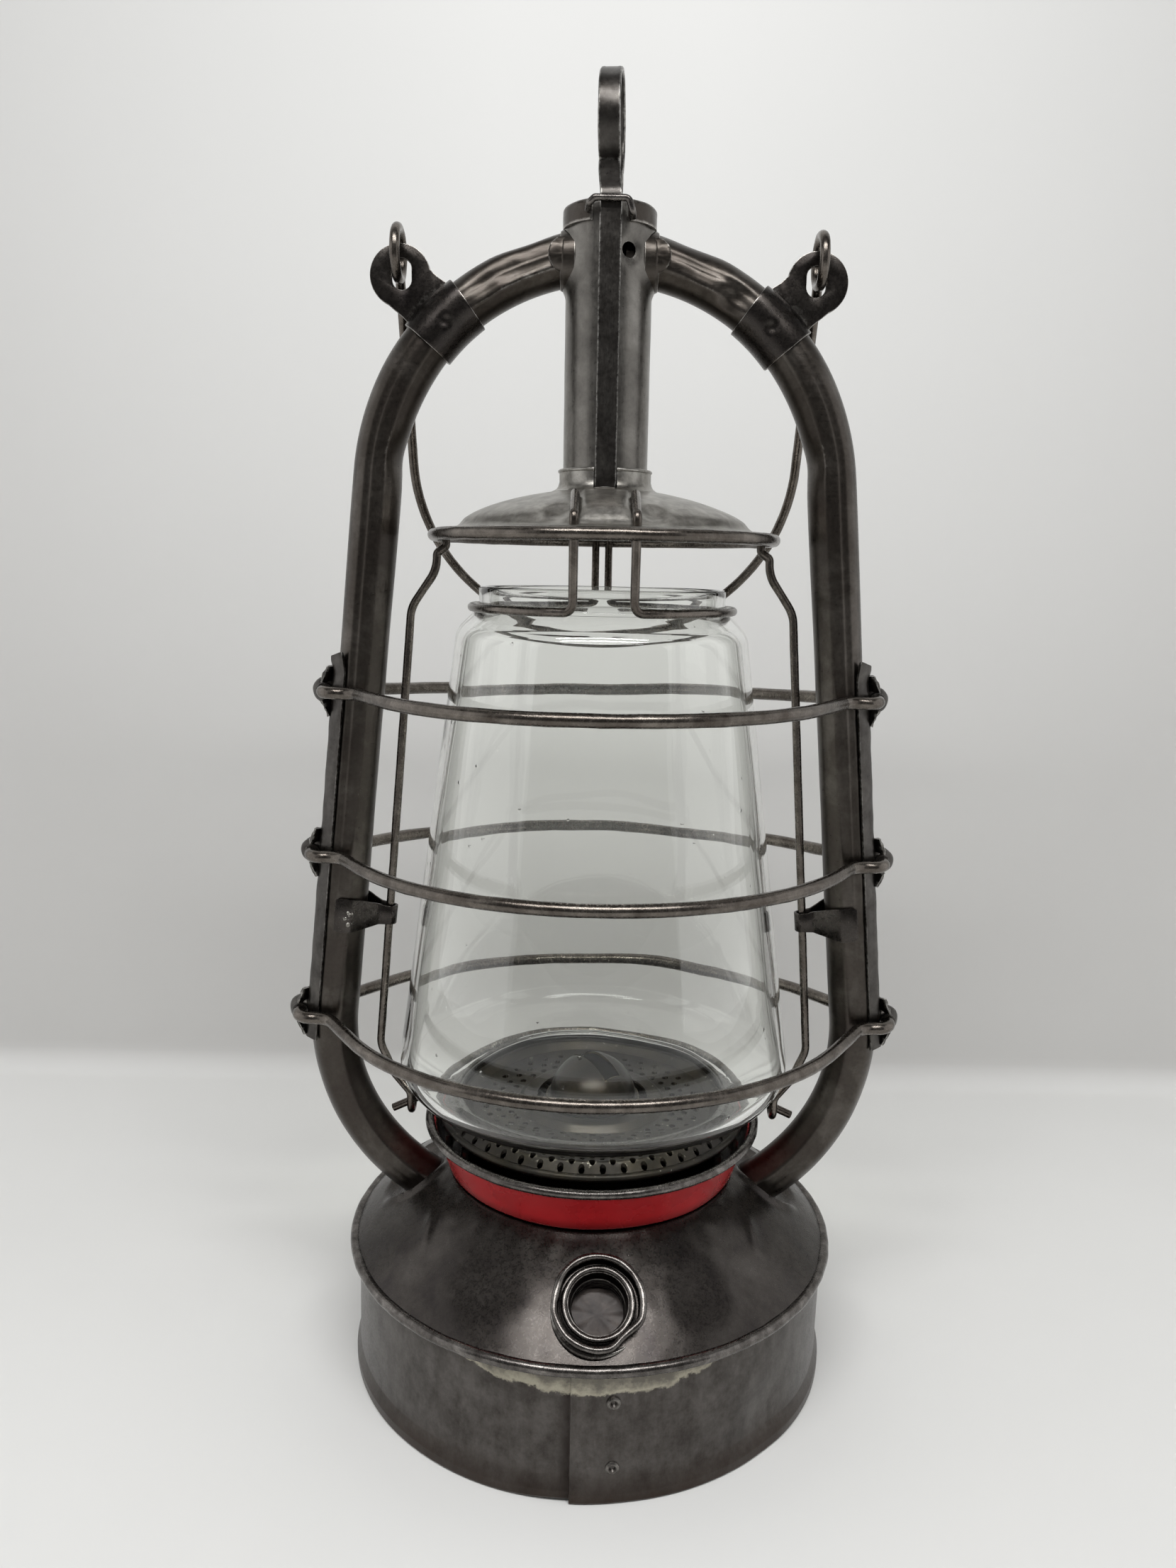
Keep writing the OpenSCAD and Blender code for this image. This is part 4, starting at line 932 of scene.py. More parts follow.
def make_bell():
    """Bell over the globe: rim wire, sloping dome, collar and the raised panel between the wires"""
    top = bell_z(COLLAR_R)
    lip_z = BELL_DOME_Z + BELL_DOME_H + 4
    spread = [BELL_DOME_R + (COLLAR_R + 2.6 - BELL_DOME_R) * math.sin(math.radians(3 * i)) for i in range(31)]
    path = [(BELL_R - BELL_RIM_D / 2, BELL_Z + 1.45), (BELL_DOME_R + 1.5, BELL_Z + 2.0)]
    path += [(r, bell_z(r)) for r in spread]
    path += [(COLLAR_R + 1.1, top + 0.6), (COLLAR_R + 0.4, top + 1.6), (COLLAR_R, top + 3), (COLLAR_R, lip_z)]
    bell = turned(strip(dense(path, 1.2), SHEET), 256)
    ripple(bell, 0.2, 14, 3.3)
    panel_r, panel_half = 19, 7.0
    for v in bell.verts:
        reach = v.co.xy.length
        if v.co.y < 0 and panel_r < reach < BELL_DOME_R + 1:
            side = smooth(panel_half - abs(v.co.x))
            ends = smooth((reach - panel_r) / 3) * smooth((BELL_DOME_R - reach) / 4)
            v.co += Vector((0, -0.3, 0.7)) * side * ends
    for x in (-12.6, 12.6):
        dent(bell, (x, -38, bell_z(40)), 6.5, (0, 1.3, -1.4))
    lip = torus(COLLAR_R + 0.25, 0.55, lip_z, 96, 12)
    slots = [block((0, y, top + 4), (STRIP_W + 0.6, STRIP_T + 1.4, 11)) for y in (-STRAP_Y, STRAP_Y)]
    bell = cut(join(bell, lip), join(*slots))
    piece("tinned_bell", bell, tinned_sheet(), "carriage", ["bell"], wear=0.5)
    rim = torus(BELL_R - BELL_RIM_D / 2, BELL_RIM_D / 2, BELL_Z, 240)
    ripple(rim, 0.14, 7, 1.1)
    piece("bell_rim_wire", rim, drawn_wire(), "carriage", wear=0.4)


def make_globe_wires():
    """Wires that lift the globe: neck wires, side rods with their eyes, and the cradle"""
    section = ring(ROD_R, 14)
    ring_r, ring_z = 40.2, box_mm("right_neck_wire")[0].z + ROD_R
    lay = SHEET / 2 + ROD_R

    def leave(x):
        return math.asin(x / ring_r) + math.radians(6)

    def hook_y(x):
        a = leave(x)
        return (ring_r * math.sin(a) - x) / math.cos(a) * math.sin(a) + ring_r * math.cos(a)

    def staple(x, side):
        """End of a neck wire, from the bell's top down to the ring; side is -1 at the front"""
        places = [(hook_y(x) - 12.6, -0.6), (hook_y(x) - 10.8, lay), (hook_y(x) + 5, lay + 0.4)]
        ends = [(x, side * y, bell_z(math.hypot(x, y)) + up) for y, up in places]
        return ends + [(x, side * hook_y(x), ring_z)]

    front, rear = 8.5, 2.2
    start, end = leave(front) - math.pi / 2, math.pi / 2 - leave(rear)
    step = (end - start) / 4
    corners = [Vector((math.cos(start + step * (i + 0.5)), math.sin(start + step * (i + 0.5)), 0)) for i in range(4)]
    corners = [c * ring_r / math.cos(step / 2) + UP * ring_z for c in corners]
    points = staple(front, -1) + corners + staple(rear, 1)[::-1]
    neck = swept(rounded(points, (1, 2, 3, *[ring_r] * 4, 3, 2, 1)), section, FRONT)
    ripple(neck, 0.08, 3, 2.0)
    pair("neck_hold_wire", neck, drawn_wire(), "carriage", "steel_wire", "neck_wire", 0.45)
    hook = BELL_RIM_D / 2 + ROD_R + 0.2
    rim = BELL_R - BELL_RIM_D / 2
    eye, x, z = 3.05, 60.2, 83.4
    points = [(rim - hook, 0, BELL_Z + 0.2), (rim - hook, 0, BELL_Z - hook), (rim - 0.5, 0, BELL_Z - hook - 2),
              (rim - 0.3, 0, BELL_Z - 10.5), ROD_TOP.lerp(ROD_KNEE, 0.04), ROD_KNEE, (BELLY_R + 2.2, 0, BELLY_Z - 4),
              (x, -eye, z + eye + 1), (x, -eye, z - eye), (x, eye, z - eye), (x, eye, z + eye), (x, 0.3 * eye, z + eye)]
    rod = swept(dense(rounded(points, (1.6, 1.6, 11, 11, 8, 4, 3, eye, eye, 0.6 * eye)), 4), section, FRONT)
    ripple(rod, 0.1, 4, 6.0)
    pair("lift_rod", rod, drawn_wire(), "carriage", "steel_wire", "side_rod", 0.3)
    r, z = 53.0, 84.6
    tail = [(r + 13.5, 0, z - 4.2), (r + 4.5, 0, z), (r, 0, z)]
    turn = math.pi / 4
    corners = [(r / math.cos(turn / 2) * math.cos(turn * (i + 0.5)), 3.3 + r / math.cos(turn / 2)
                * math.sin(turn * (i + 0.5)), z) for i in range(4)]
    points = tail + corners + [(-p[0], p[1], p[2]) for p in tail[::-1]]
    cradle = swept(rounded(points, (4, 3, *[r] * 4, 3, 4)), section)
    piece("globe_cradle_wire", cradle, drawn_wire(), "carriage", ["cradle_wire"], 0.3)


def tube_section():
    """Round tube section with a lengthwise bead and groove on its front"""
    turns = [math.tau * i / 60 for i in range(60)]
    bead = [0.45 * math.exp(-((math.degrees(a) - 112) / 9) ** 2) for a in turns]
    groove = [0.4 * math.exp(-((math.degrees(a) - 78) / 7) ** 2) for a in turns]
    radii = [TUBE_R - 0.1 + b - g for b, g in zip(bead, groove)]
    return [(r * math.cos(a), r * math.sin(a)) for r, a in zip(radii, turns)]


def make_tubes():
    """Side tubes from the chimney to the fount, each dented in its own way where it was bent"""
    shared = [((60, -3, 291), 9, (1.3, 0.5, 0)), ((56.6, -3, 258), 7, (1.3, 0.5, 0)), ((78, -6, 128), 10, (0, 1.0, 0)),
              ((24, -2, 353), 13, (0, 0.4, -0.8))]
    own = {"right": [((36, -7.4, 337), 5.5, (0, 1.9, 0.3)), ((28, -6, 346), 8, (0, 0.9, -0.3))],
           "left": [((-17, -7, 349.5), 6, (0, 1.5, -0.3)), ((-23, -7, 347.5), 6.5, (0, 1.8, -0.3)),
                    ((-29, -7, 344.5), 6.5, (0, 1.7, -0.2)), ((-36, -6.6, 340), 7, (0, 1.1, -0.2))]}
    tube = swept(tube_path(), tube_section(), FRONT)
    ripple(tube, 0.25, 24, 4.0)
    for centre, radius, push in shared:
        dent(tube, centre, radius, push)
    for side, shape in zip(("right", "left"), both_sides(tube)):
        for centre, radius, push in own[side]:
            dent(shape, centre, radius, push)
        piece(f"{side}_air_tube", shape, brushed_tube(), "frame", [f"{side}_side_tube"], wear=1.5)


def make_chimney():
    """Chimney with its vent and cap, the wire staples of the lift strip and the flanges of the tubes"""
    wall = CHIMNEY_R - SHEET / 2
    tube_z = ARCH_Z + ARCH_R - 1.4
    pipe = turned(strip(dense([(wall, CHIMNEY_LOW), (wall, CHIMNEY_HIGH)], 1.0), SHEET), 160)
    ripple(pipe, 0.14, 14, 6.6)
    vent = Matrix.Rotation(math.radians(27), 4, "Z") @ Matrix.Translation((0, -CHIMNEY_R, ARCH_Z + ARCH_R - 0.5))
    for v in pipe.verts:
        away = math.hypot(v.co.y, v.co.z - tube_z)
        v.co.x += math.copysign(1.2, v.co.x) * smooth((11 - away) / 4) * smooth((abs(v.co.x) - 6) / 3)
        v.co.xy *= 1 - 0.085 * smooth(1 - (v.co - vent.translation).length / 5.2)
    pipe = cut(pipe, bolt(2.2, 8, vent @ Matrix.Rotation(math.pi / 2, 4, "X"), 32))
    piece("chimney_pipe", pipe, tinned_pipe(), "frame", ["chimney"])
    r, z = CHIMNEY_R + 0.6, CHIMNEY_HIGH + 0.6
    cap = turned(strip(dense(rounded([(0, z), (r, z), (r, z - 5.5)], (0.9,)), 1.2), SHEET), 128)
    ripple(cap, 0.14, 6, 2.4)
    for y in (-CHIMNEY_R - 1.6, CHIMNEY_R + 1.6):
        cap = cut(cap, block((0, y, z - 3), (11.5, 5, 12)))
    piece("chimney_cap_sheet", cap, brushed_tube(), "frame", ["chimney_cap"], wear=1.2)
    y, bar = STRAP_Y + 1.85, z - 0.5
    points = [(-6.5, -12.2, bar - 2.5), (-6.1, -y + 0.6, bar - 1.2), (-4.6, -y, bar), (4.9, -y, bar),
              (6.2, -y + 0.5, bar - 3.4), (6.4, -12.4, bar - 4.2)]
    staple = swept(dense(rounded(points, (1, 1.2, 1.6, 1)), 1), ring(0.95, 14), FRONT)
    ripple(staple, 0.08, 2, 3.0)
    staples = [staple, moved(staple.copy(), Matrix.Rotation(math.pi, 4, "Z"))]
    piece("cap_wire_staples", join(*staples), rim_wear_and_sheen(), "frame", ["cap_bridges"], 0.3)
    collar = turned(rounded([(7.45, 0), (9.0, 0), (8.5, 3.4), (8.0, 4.4), (7.45, 4.4)], (0.3, 1.5, 0.3, 0.2)), 96)
    ripple(collar, 0.2, 3, 3.9)
    moved(collar, Matrix.Translation((9.9, 0, tube_z)) @ Matrix.Rotation(math.pi / 2, 4, "Y"))
    half = [(0, -0.6), (5.1, -0.6), (5.1, 0.3), (4.9, 0.5), (4, 0.55), (3, 0.5), (2, 0.5), (1, 0.5), (0, 0.5)]
    lobe = turned(half, 48)
    for v in lobe.verts:
        turn, reach = v.co.y / TUBE_R, TUBE_R + 0.3 + v.co.z
        v.co.yz = -reach * math.cos(turn), reach * math.sin(turn)
    ripple(lobe, 0.2, 1.3, 5.2)
    bmesh.ops.recalc_face_normals(lobe, faces=lobe.faces)
    lobes = [lobe, moved(lobe.copy(), Matrix.Diagonal((1, -1, 1, 1)))]
    flange = join(collar, *[moved(shape, Matrix.Translation((12.6, 0, tube_z + 0.3))) for shape in lobes])
    pair("flange_lobes", flange, brushed_tube(), "frame", "tinned_steel", "tube_flange", 0.6)


def make_lift_ring():
    """Lift strip: two straps beside the chimney and the ring over it, with folded edges"""
    foot = bell_z(STRAP_Y + 4.5) - 1.4
    start = -math.degrees(math.acos(PINCH_Y / RING_MID_R))
    leg = [(STRAP_Y + 4.5, foot), (STRAP_Y, foot), (STRAP_Y, CHIMNEY_HIGH + 2.5)]
    loop = arc((0, RING_Z), RING_MID_R, start, 180 - start, 56)
    corner = rounded(leg + [loop[0]], (1.0, 5.0)) + loop[1:]
    flat = corner + [(-p[0], p[1]) for p in rounded(leg + [loop[0]], (1.0, 5.0))[::-1]]
    path = dense([Vector((0, p[0], p[1])) for p in flat], 2.5)
    w, t = STRIP_W / 2, STRIP_T / 2
    half = [(w - 1.5, -t), (w - 0.9, -t - 0.1), (w - 0.3, -t), (w, -t + 0.35), (w, t - 0.1), (w - 0.4, t + 0.2),
            (w - 1.0, t + 0.15), (w - 1.5, t - 0.25)]
    section = half + [(-x, y) for x, y in half[::-1]]
    ring_strip = swept(path, section, Vector((0, 0, -1)))
    for v in ring_strip.verts:
        turn = -math.radians(4.5) * smooth((v.co.z - CHIMNEY_HIGH - 1) / 12)
        v.co = Matrix.Rotation(turn, 3, "Z") @ v.co
    ripple(ring_strip, 0.1, 5, 7.1)
    piece("lift_ring_strip", ring_strip, folded_strip(), "carriage", ["lift_strip"])


def hoop_path(z, gap, radius):
    """Middle line of a front guard hoop, from its left knob to its right one"""
    front = globe_r(z) + gap + radius
    turn = math.radians(58)
    x = tube_x(z) + KNOB_OUT
    y = TUBE_R + radius + 0.6
    knee = x - 10.5
    bow = (knee * math.sin(turn) - (front - y) * math.cos(turn)) / (1 - math.cos(turn))
    half = [Vector((x, -0.25, z)), Vector((x, -y, z)), Vector((knee, -y, z))]
    apex = Vector((0, bow - front - bow / math.cos(turn), z))
    points = [Vector((-p.x, p.y, p.z)) for p in half] + [apex] + half[::-1]
    return dense(rounded(points, (5, 8, bow, 8, 5), 32), 4)


def make_guard():
    """Guard of the globe: three hoops in halves, and the folded strips with the knobs that hold them"""
    radius = bpy.context.scene.lantern_sizes.hoop_radius / MM
    for number, (level, z) in enumerate(HOOP_Z.items()):
        path = hoop_path(z, HOOP_GAP[level], radius)
        tilt = Matrix.Translation((0, 0, z)) @ Matrix.Rotation(-HOOP_DROP, 4, "X") @ Matrix.Translation((0, 0, -z))
        for half, place in (("front", Matrix()), ("rear", tilt @ Matrix.Diagonal((1, -1, 1, 1)))):
            hoop = swept(path, ring(radius, 16))
            ripple(hoop, 0.14, 6, 2.0 + number)
            ripple(hoop, 0.07, 1.8, 5.0 + number)
            name = f"{level}_{half}_hoop"
            piece(f"{name}_wire", moved(hoop, place), drawn_wire(), "frame", [name], wear=0.35)
    low, high = HOOP_Z["low"] - 8.5, HOOP_Z["top"] + 12.5
    line = [Vector((tube_x(z) + HUG_R, 0, z)) for z in (low + (high - low) * i / 90 for i in range(91))]
    turns = [-20 + 80 * i / 16 for i in range(17)]
    inner = [(TUBE_R + 0.25, a) for a in turns]
    outer = [(TUBE_R + 0.95 + 0.7 * math.exp(-((a - 24) / 12) ** 2), a) for a in turns[::-1]]
    hug = [(HUG_R - r * math.cos(math.radians(a)), r * math.sin(math.radians(a))) for r, a in inner + outer]
    band = swept(line, hug, FRONT)
    for v in band.verts:
        torn = smooth((v.co.z - high + 7) / 7)
        v.co.x += 1.2 * torn
        v.co.z -= 0.5 * torn * (v.co.y + 7)
    ripple(band, 0.25, 6, 8.0)
    shapes = [band]
    bulb = [(0, -3.9), (2.5, -3.9), (2.6, -3.45)]
    bulb += [(2.5 + 1.75 * math.cos(math.pi / 2 * y / 3.2) ** 0.8, y) for y in (-3.1 + 0.31 * i for i in range(21))]
    bulb += [(2.6, 3.45), (2.5, 3.9), (0, 3.9)]
    for number, z in enumerate(HOOP_Z.values()):
        x = tube_x(z) + KNOB_OUT
        place = Matrix.Translation((x, 0, z)) @ Matrix.Rotation(math.pi / 2, 4, "X")
        knob = moved(turned(bulb, 40), place)
        ripple(knob, 0.25, 3, 1.0 + number)
        shapes.append(knob)
        for side in (-1, 1):
            tongue = [Vector((x - 2.2 + 1.4 * t, -2.6 + 0.4 * side * t, z + side * (7.6 - 5.2 * t)))
                      for t in (0, 0.3, 0.6, 1)]
            flap = swept(tongue, bar_section(1.0, 5.0, 0.3), Vector((0.6, -0.8, 0)),
                         size=lambda t: (1, 0.75 + 0.35 * t))
            bmesh.ops.subdivide_edges(flap, edges=flap.edges, cuts=2, use_grid_fill=True)
            ripple(flap, 0.5, 1.6, 3.0 + number + side)
            shapes.append(flap)
    pair("guard_strip_knobs", join(*shapes), folded_strip(), "frame", "oiled_steel", "guard_strip", 0.5)


def make_clips():
    """Guide clips of the lift rods and the clips with ears that hold the bail"""
    z, y = 149.5, HUG_R
    gap = ROD_R + 0.35 + 0.2 + SHEET / 2
    rod_x = ROD_TOP.lerp(ROD_KNEE, (ROD_TOP.z - z) / (ROD_TOP.z - ROD_KNEE.z)).x
    loop = rod_x - tube_x(z) - ROD_R - 0.35 - SHEET / 2 + gap
    side = [(1.2, -y), (-4, -y), (loop + 3, -gap)]
    path = side + arc((loop, 0), gap, 270, 90, 12)[1:-1] + [(p[0], -p[1]) for p in side[::-1]]
    place = Matrix.Translation((tube_x(z), 0, z)) @ Matrix.Rotation(-FLARE, 4, "Y")
    clip = soften(slab(strip(dense(path, 1.2), SHEET), 11), 0.2)
    for v in clip.verts:
        v.co.z *= 1 - 0.45 * smooth((-3 - v.co.x) / (-3 - loop)) - 0.12 * smooth((v.co.x - 0.2) / 1.2)
    ripple(clip, 0.15, 4, 2.6)
    moved(clip, place)
    pair("rod_guide", clip, oiled_sheet(), "frame", "oiled_steel", "guide_clip", 0.12)
    blobs = [lump(Vector((-3.0 + 0.5 * math.sin(5 * h), -y - 0.1, h)), (1.1, 0.5, 0.9), 7.0 + h, rough=0.5)
             for h in (-2.6, -0.9, 0.8)]
    blobs = moved(moved(join(*blobs), place), Matrix.Diagonal((-1, 1, 1, 1)))
    piece("left_guide_solder", blobs, solder(), "frame", wear=0.3)
    half = 8.4 / ARCH_R
    bend = around(Vector((0, 0, ARCH_Z)), ARCH_R, EAR_TURN + half, EAR_TURN - half, 24)
    wrap = swept(bend, ring(TUBE_R + 1, 72), FRONT)
    ripple(wrap, 0.22, 9, 4.2)
    soften(wrap, 0.25)
    outline = [(76, -8.2), (79, -8.2)] + arc((EAR_REACH, -0.6), EAR_R + 0.2, -112, 122, 56) + [(80.2, 7.2), (76, 8.2)]
    ear = slab(outline, EAR_T)
    rise = math.pi / 2 - EAR_TURN
    eye = arc((1.5, 0), 2.9, -90, 90, 16) + arc((-1.5, 0), 2.9, 90, 270, 16)
    slot = slab(eye, 6, Matrix.Translation((EAR_REACH, 0, 0)) @ Matrix.Rotation(rise, 4, "Z"))
    ear = soften(cut(ear, slot), 0.25)
    clip = join(wrap, moved(ear, at_arch(EAR_TURN)))
    dent(clip, at_arch(EAR_TURN) @ Vector((ARCH_R - 1, 0, TUBE_R + 1)), 2.6, (0, 0.7, 0))
    pair("bail_ear_clip", clip, oiled_sheet(), "frame", "oiled_steel", "bail_clip", 0.5)


def make_bail():
    """Wire bail with an eye at each end, hanging behind the lantern"""
    radius = bpy.context.scene.lantern_sizes.bail_radius / MM
    depth = BAIL_LEG + BAIL_X
    points = [(-BAIL_X, 0, -BAIL_EYE_R), (-BAIL_X, 0, -depth), (BAIL_X, 0, -depth), (BAIL_X, 0, -BAIL_EYE_R)]
    bow = swept(dense(rounded(points, (BAIL_X - 0.01, BAIL_X - 0.01), 32), 4), ring(radius, 16), FRONT)
    circle = [Vector((0, BAIL_EYE_R * math.cos(a), BAIL_EYE_R * math.sin(a)))
              for a in (math.tau * i / 40 for i in range(40))]
    eyes = [moved(swept(circle, ring(radius, 16), Vector((1, 0, 0)), True), Matrix.Translation((x, 0, 0)))
            for x in (-BAIL_X, BAIL_X)]
    bail = join(bow, *eyes)
    ripple(bail, 0.08, 4, 9.9)
    place = Matrix.Translation((0, 0, BAIL_Z)) @ Matrix.Rotation(BAIL_REST, 4, "X")
    piece("wire_bail", moved(bail, place), drawn_wire(), "bail", ["bail"], wear=0.35)


def dress_inner():
    """Materials of the solids that stay in view as they are"""
    dress(oiled_sheet("inner_sheet_steel"), "fount_bottom", "tank_top")
    dress(folded_strip(), "plate_supports")
    dress(cut_rubber(), "filler_gasket")


# Stage.


def backdrop_paper():
    """Matt white paper of the photographer's tent, with painted shade where it rises behind the lantern and a painted
    glow in its middle, unseen from its back
    """
    tint = bpy.context.scene.lantern_colours
    material, tree, shader, output = surface("white_backdrop_paper", {"Roughness": 0.85, "Specular IOR Level": 0.2})
    space = object_space(tree)
    place = add(tree, "SeparateXYZ", [space]).node.outputs
    path = add(tree, "LightPath").node.outputs
    # Shade on the wall, more of it away from its brightest spot, and a faint grain.
    aside = add(tree, "Math", [place["X"], 3.0], operation="MULTIPLY")
    above = add(tree, "Math", [place["Z"], 0.5], operation="SUBTRACT")
    above = add(tree, "Math", [above, 2.2], operation="MULTIPLY")
    squares = [add(tree, "Math", [side, side], operation="MULTIPLY") for side in (aside, above)]
    away = add(tree, "Math", [add(tree, "Math", squares, operation="ADD")], operation="SQRT")
    shade = add(tree, "MapRange", [away, 0.1, 1.1, 0.0, 1.0])
    raised = add(tree, "MapRange", [place["Z"], 0.0, 10 * MM, 0.0, 1.0])
    wall = add(tree, "Math", [shade, raised], operation="MULTIPLY")
    grain = add(tree, "TexNoise", {"Vector": space, "Scale": per_mm(120), "Detail": 3, "Roughness": 0.5})
    grain = add(tree, "MapRange", [grain, 0.3, 0.7, 0.0, 0.06])
    tooth = add(tree, "TexNoise", {"Vector": space, "Scale": per_mm(3), "Detail": 3, "Roughness": 0.6})
    tones = add(tree, "Mix", {0: wall, 6: tint.paper, 7: tint.shade}, data_type="RGBA")
    feed(shader, {
        "Base Color": add(tree, "Mix", {0: grain, 6: tones, 7: linear("#BBBBB9")}, data_type="RGBA"),
        "Normal": add(tree, "Bump", {"Height": tooth, "Strength": 0.1, "Distance": 0.1 * MM}),
    })
    # Painted light: the wall glows white to the camera, metal and glass, most in its middle.
    middle = add(tree, "Math", [place["X"]], operation="ABSOLUTE")
    middle = add(tree, "MapRange", [middle, 0.05, 0.36, 1.0, 0.4])
    glow = add(tree, "MapRange", [place["Z"], 0.16, 0.52, 0.0, 0.76])
    glow = add(tree, "Math", [glow, middle], operation="MULTIPLY")
    seen = path["Is Camera Ray"]
    for ray in ("Is Transmission Ray", "Is Glossy Ray"):
        seen = add(tree, "Math", [seen, path[ray]], operation="MAXIMUM")
    glow = add(tree, "Math", [glow, seen], operation="MULTIPLY")
    white = add(tree, "Emission", {"Color": linear("#FAFAF8"), "Strength": 1.0})
    both = add(tree, "MixShader", [glow, shader.outputs[0], white])
    # Nothing to a camera behind it, and nothing to the lamps.
    back = add(tree, "NewGeometry").node.outputs["Backfacing"]
    unseen = add(tree, "Math", [back, path["Is Camera Ray"]], operation="MULTIPLY")
    unseen = add(tree, "Math", [unseen, path["Is Shadow Ray"]], operation="MAXIMUM")
    feed(output, {"Surface": add(tree, "MixShader", [unseen, both, add(tree, "BsdfTransparent")])})
    return material


def make_sweep():
    """Paper that bends up behind the lantern, and the floor beyond it for a look from behind"""
    bend = bpy.context.scene.lantern_stage.bend_y
    line = rounded([(-PAPER_HALF, 0.0), (bend, 0.0), (bend + PAPER_LEAN, PAPER_HEIGHT)], (PAPER_BEND_R,), 12)
    bm = bmesh.new()
    verts = [bm.verts.new((-PAPER_HALF, y, z)) for y, z in line]
    edges = [bm.edges.new(ends) for ends in zip(verts, verts[1:])]
    beyond = [bm.verts.new((-PAPER_HALF, y, -0.3 * MM)) for y in (bend - 0.05, PAPER_HALF)]
    edges.append(bm.edges.new(beyond))
    grown = bmesh.ops.extrude_edge_only(bm, edges=edges)["geom"]
    bmesh.ops.translate(bm, vec=(2 * PAPER_HALF, 0, 0), verts=[g for g in grown if isinstance(g, bmesh.types.BMVert)])
    bm.normal_update()
    bmesh.ops.reverse_faces(bm, faces=[f for f in bm.faces if f.normal.z - f.normal.y < 0])
    mesh = bpy.data.meshes.new("paper_sweep")
    bm.to_mesh(mesh)
    bm.free()
    mesh.polygons.foreach_set("use_smooth", [True] * len(mesh.polygons))
    mesh.materials.append(backdrop_paper())
    sweep = bpy.data.objects.new("paper_sweep", mesh)
    bpy.context.scene.collection.objects.link(sweep)


def make_lamps():
    """Two lamp strips over the camera, a pale ceiling and side walls, and the even light of the tent"""
    scene, settings = bpy.context.scene, bpy.context.scene.lantern_stage
    strip_size, wall_size = (0.75, 0.05), (0.9, 0.7)
    lamps = [("near_strip", (0, -0.54, 0.80), (0, -0.54, 0), strip_size, settings.strip_power),
             ("far_strip", (0, -0.38, 0.82), (0, -0.38, 0), strip_size, settings.strip_power),
             ("ceiling", (0, 0.2, 0.95), (0, 0.2, 0), (1.0, 0.3), settings.ceiling_power),
             ("left_wall", (-0.65, -0.1, 0.35), (0, -0.1, 0.3), wall_size, settings.wall_power),
             ("right_wall", (0.65, -0.1, 0.35), (0, -0.1, 0.3), wall_size, settings.wall_power)]
    for name, place, target, size, power in lamps:
        lamp = bpy.data.lights.new(name, "AREA")
        lamp.shape, lamp.size, lamp.size_y, lamp.energy = "RECTANGLE", *size, power
        obj = bpy.data.objects.new(name, lamp)
        obj.location = place
        obj.rotation_euler = (Vector(target) - Vector(place)).to_track_quat("-Z", "Y").to_euler()
        scene.collection.objects.link(obj)
    scene.world = bpy.data.worlds.new("tent")
    scene.world.use_nodes = True
    feed(scene.world.node_tree.nodes["Background"], {"Color": grey(1), "Strength": settings.sky})


def make_camera():
    """The photograph's camera, and colours shown as they are"""
    scene = bpy.context.scene
    scene.view_settings.view_transform = "Standard"
    camera = bpy.data.cameras.new("photo_camera")
    camera.sensor_width = 36.0
    camera.lens = PHOTO_FOCUS / PHOTO_HEIGHT * camera.sensor_width
    camera.clip_start = 0.01
    eye = bpy.data.objects.new("photo_camera", camera)
    look = Matrix.Rotation(math.pi / 2 - CAMERA_PITCH, 4, "X") @ Matrix.Rotation(CAMERA_ROLL, 4, "Z")
    eye.matrix_world = Matrix.Translation(CAMERA_PLACE) @ look
    scene.collection.objects.link(eye)
    scene.camera = eye


# Add-on classes.


class LanternSizes(bpy.types.PropertyGroup):
    """Sizes of the wires"""

    hoop_radius: bpy.props.FloatProperty(name="Hoop radius", description="Radius of the guard wire",
                                         default=2.0 * MM, unit="LENGTH")
    bail_radius: bpy.props.FloatProperty(name="Bail radius", description="Radius of the bail wire",
                                         default=BAIL_R * MM, unit="LENGTH")


class LanternColours(bpy.types.PropertyGroup):
    """Colours of the metals, the enamel, the glass and the paper"""

    steel: bpy.props.FloatVectorProperty(name="Steel", description="Oiled sheet steel", subtype="COLOR", size=4,
                                         default=linear("#403C39"))
    tube: bpy.props.FloatVectorProperty(name="Tube", description="Brushed steel of the tubes and the chimney",
                                        subtype="COLOR", size=4, default=linear("#47423D"))
    skirt: bpy.props.FloatVectorProperty(name="Skirt", description="Sheet steel of the skirt", subtype="COLOR",
                                         size=4, default=linear("#5D5956"))
    tin: bpy.props.FloatVectorProperty(name="Tin", description="Tinned bell", subtype="COLOR", size=4,
                                       default=linear("#98958F"))
    strip: bpy.props.FloatVectorProperty(name="Strip", description="Lift strip", subtype="COLOR", size=4,
                                         default=linear("#4A4744"))
    wire: bpy.props.FloatVectorProperty(name="Wire", description="Drawn wire", subtype="COLOR", size=4,
                                        default=linear("#635D57"))
    enamel: bpy.props.FloatVectorProperty(name="Enamel", description="Red band", subtype="COLOR", size=4,
                                          default=linear("#BE262B"))
    solder: bpy.props.FloatVectorProperty(name="Solder", description="Solder smear on the skirt", subtype="COLOR",
                                          size=4, default=linear("#6F6A5F"))
    glass: bpy.props.FloatVectorProperty(name="Glass", description="Globe", subtype="COLOR", size=4,
                                         default=linear("#FEFFFD"))
    paper: bpy.props.FloatVectorProperty(name="Paper", description="Paper sweep", subtype="COLOR", size=4,
                                         default=linear("#E8E8E6"))
    shade: bpy.props.FloatVectorProperty(name="Shade", description="Paper sweep where it turns away from the lamps",
                                         subtype="COLOR", size=4, default=linear("#CFCECC"))


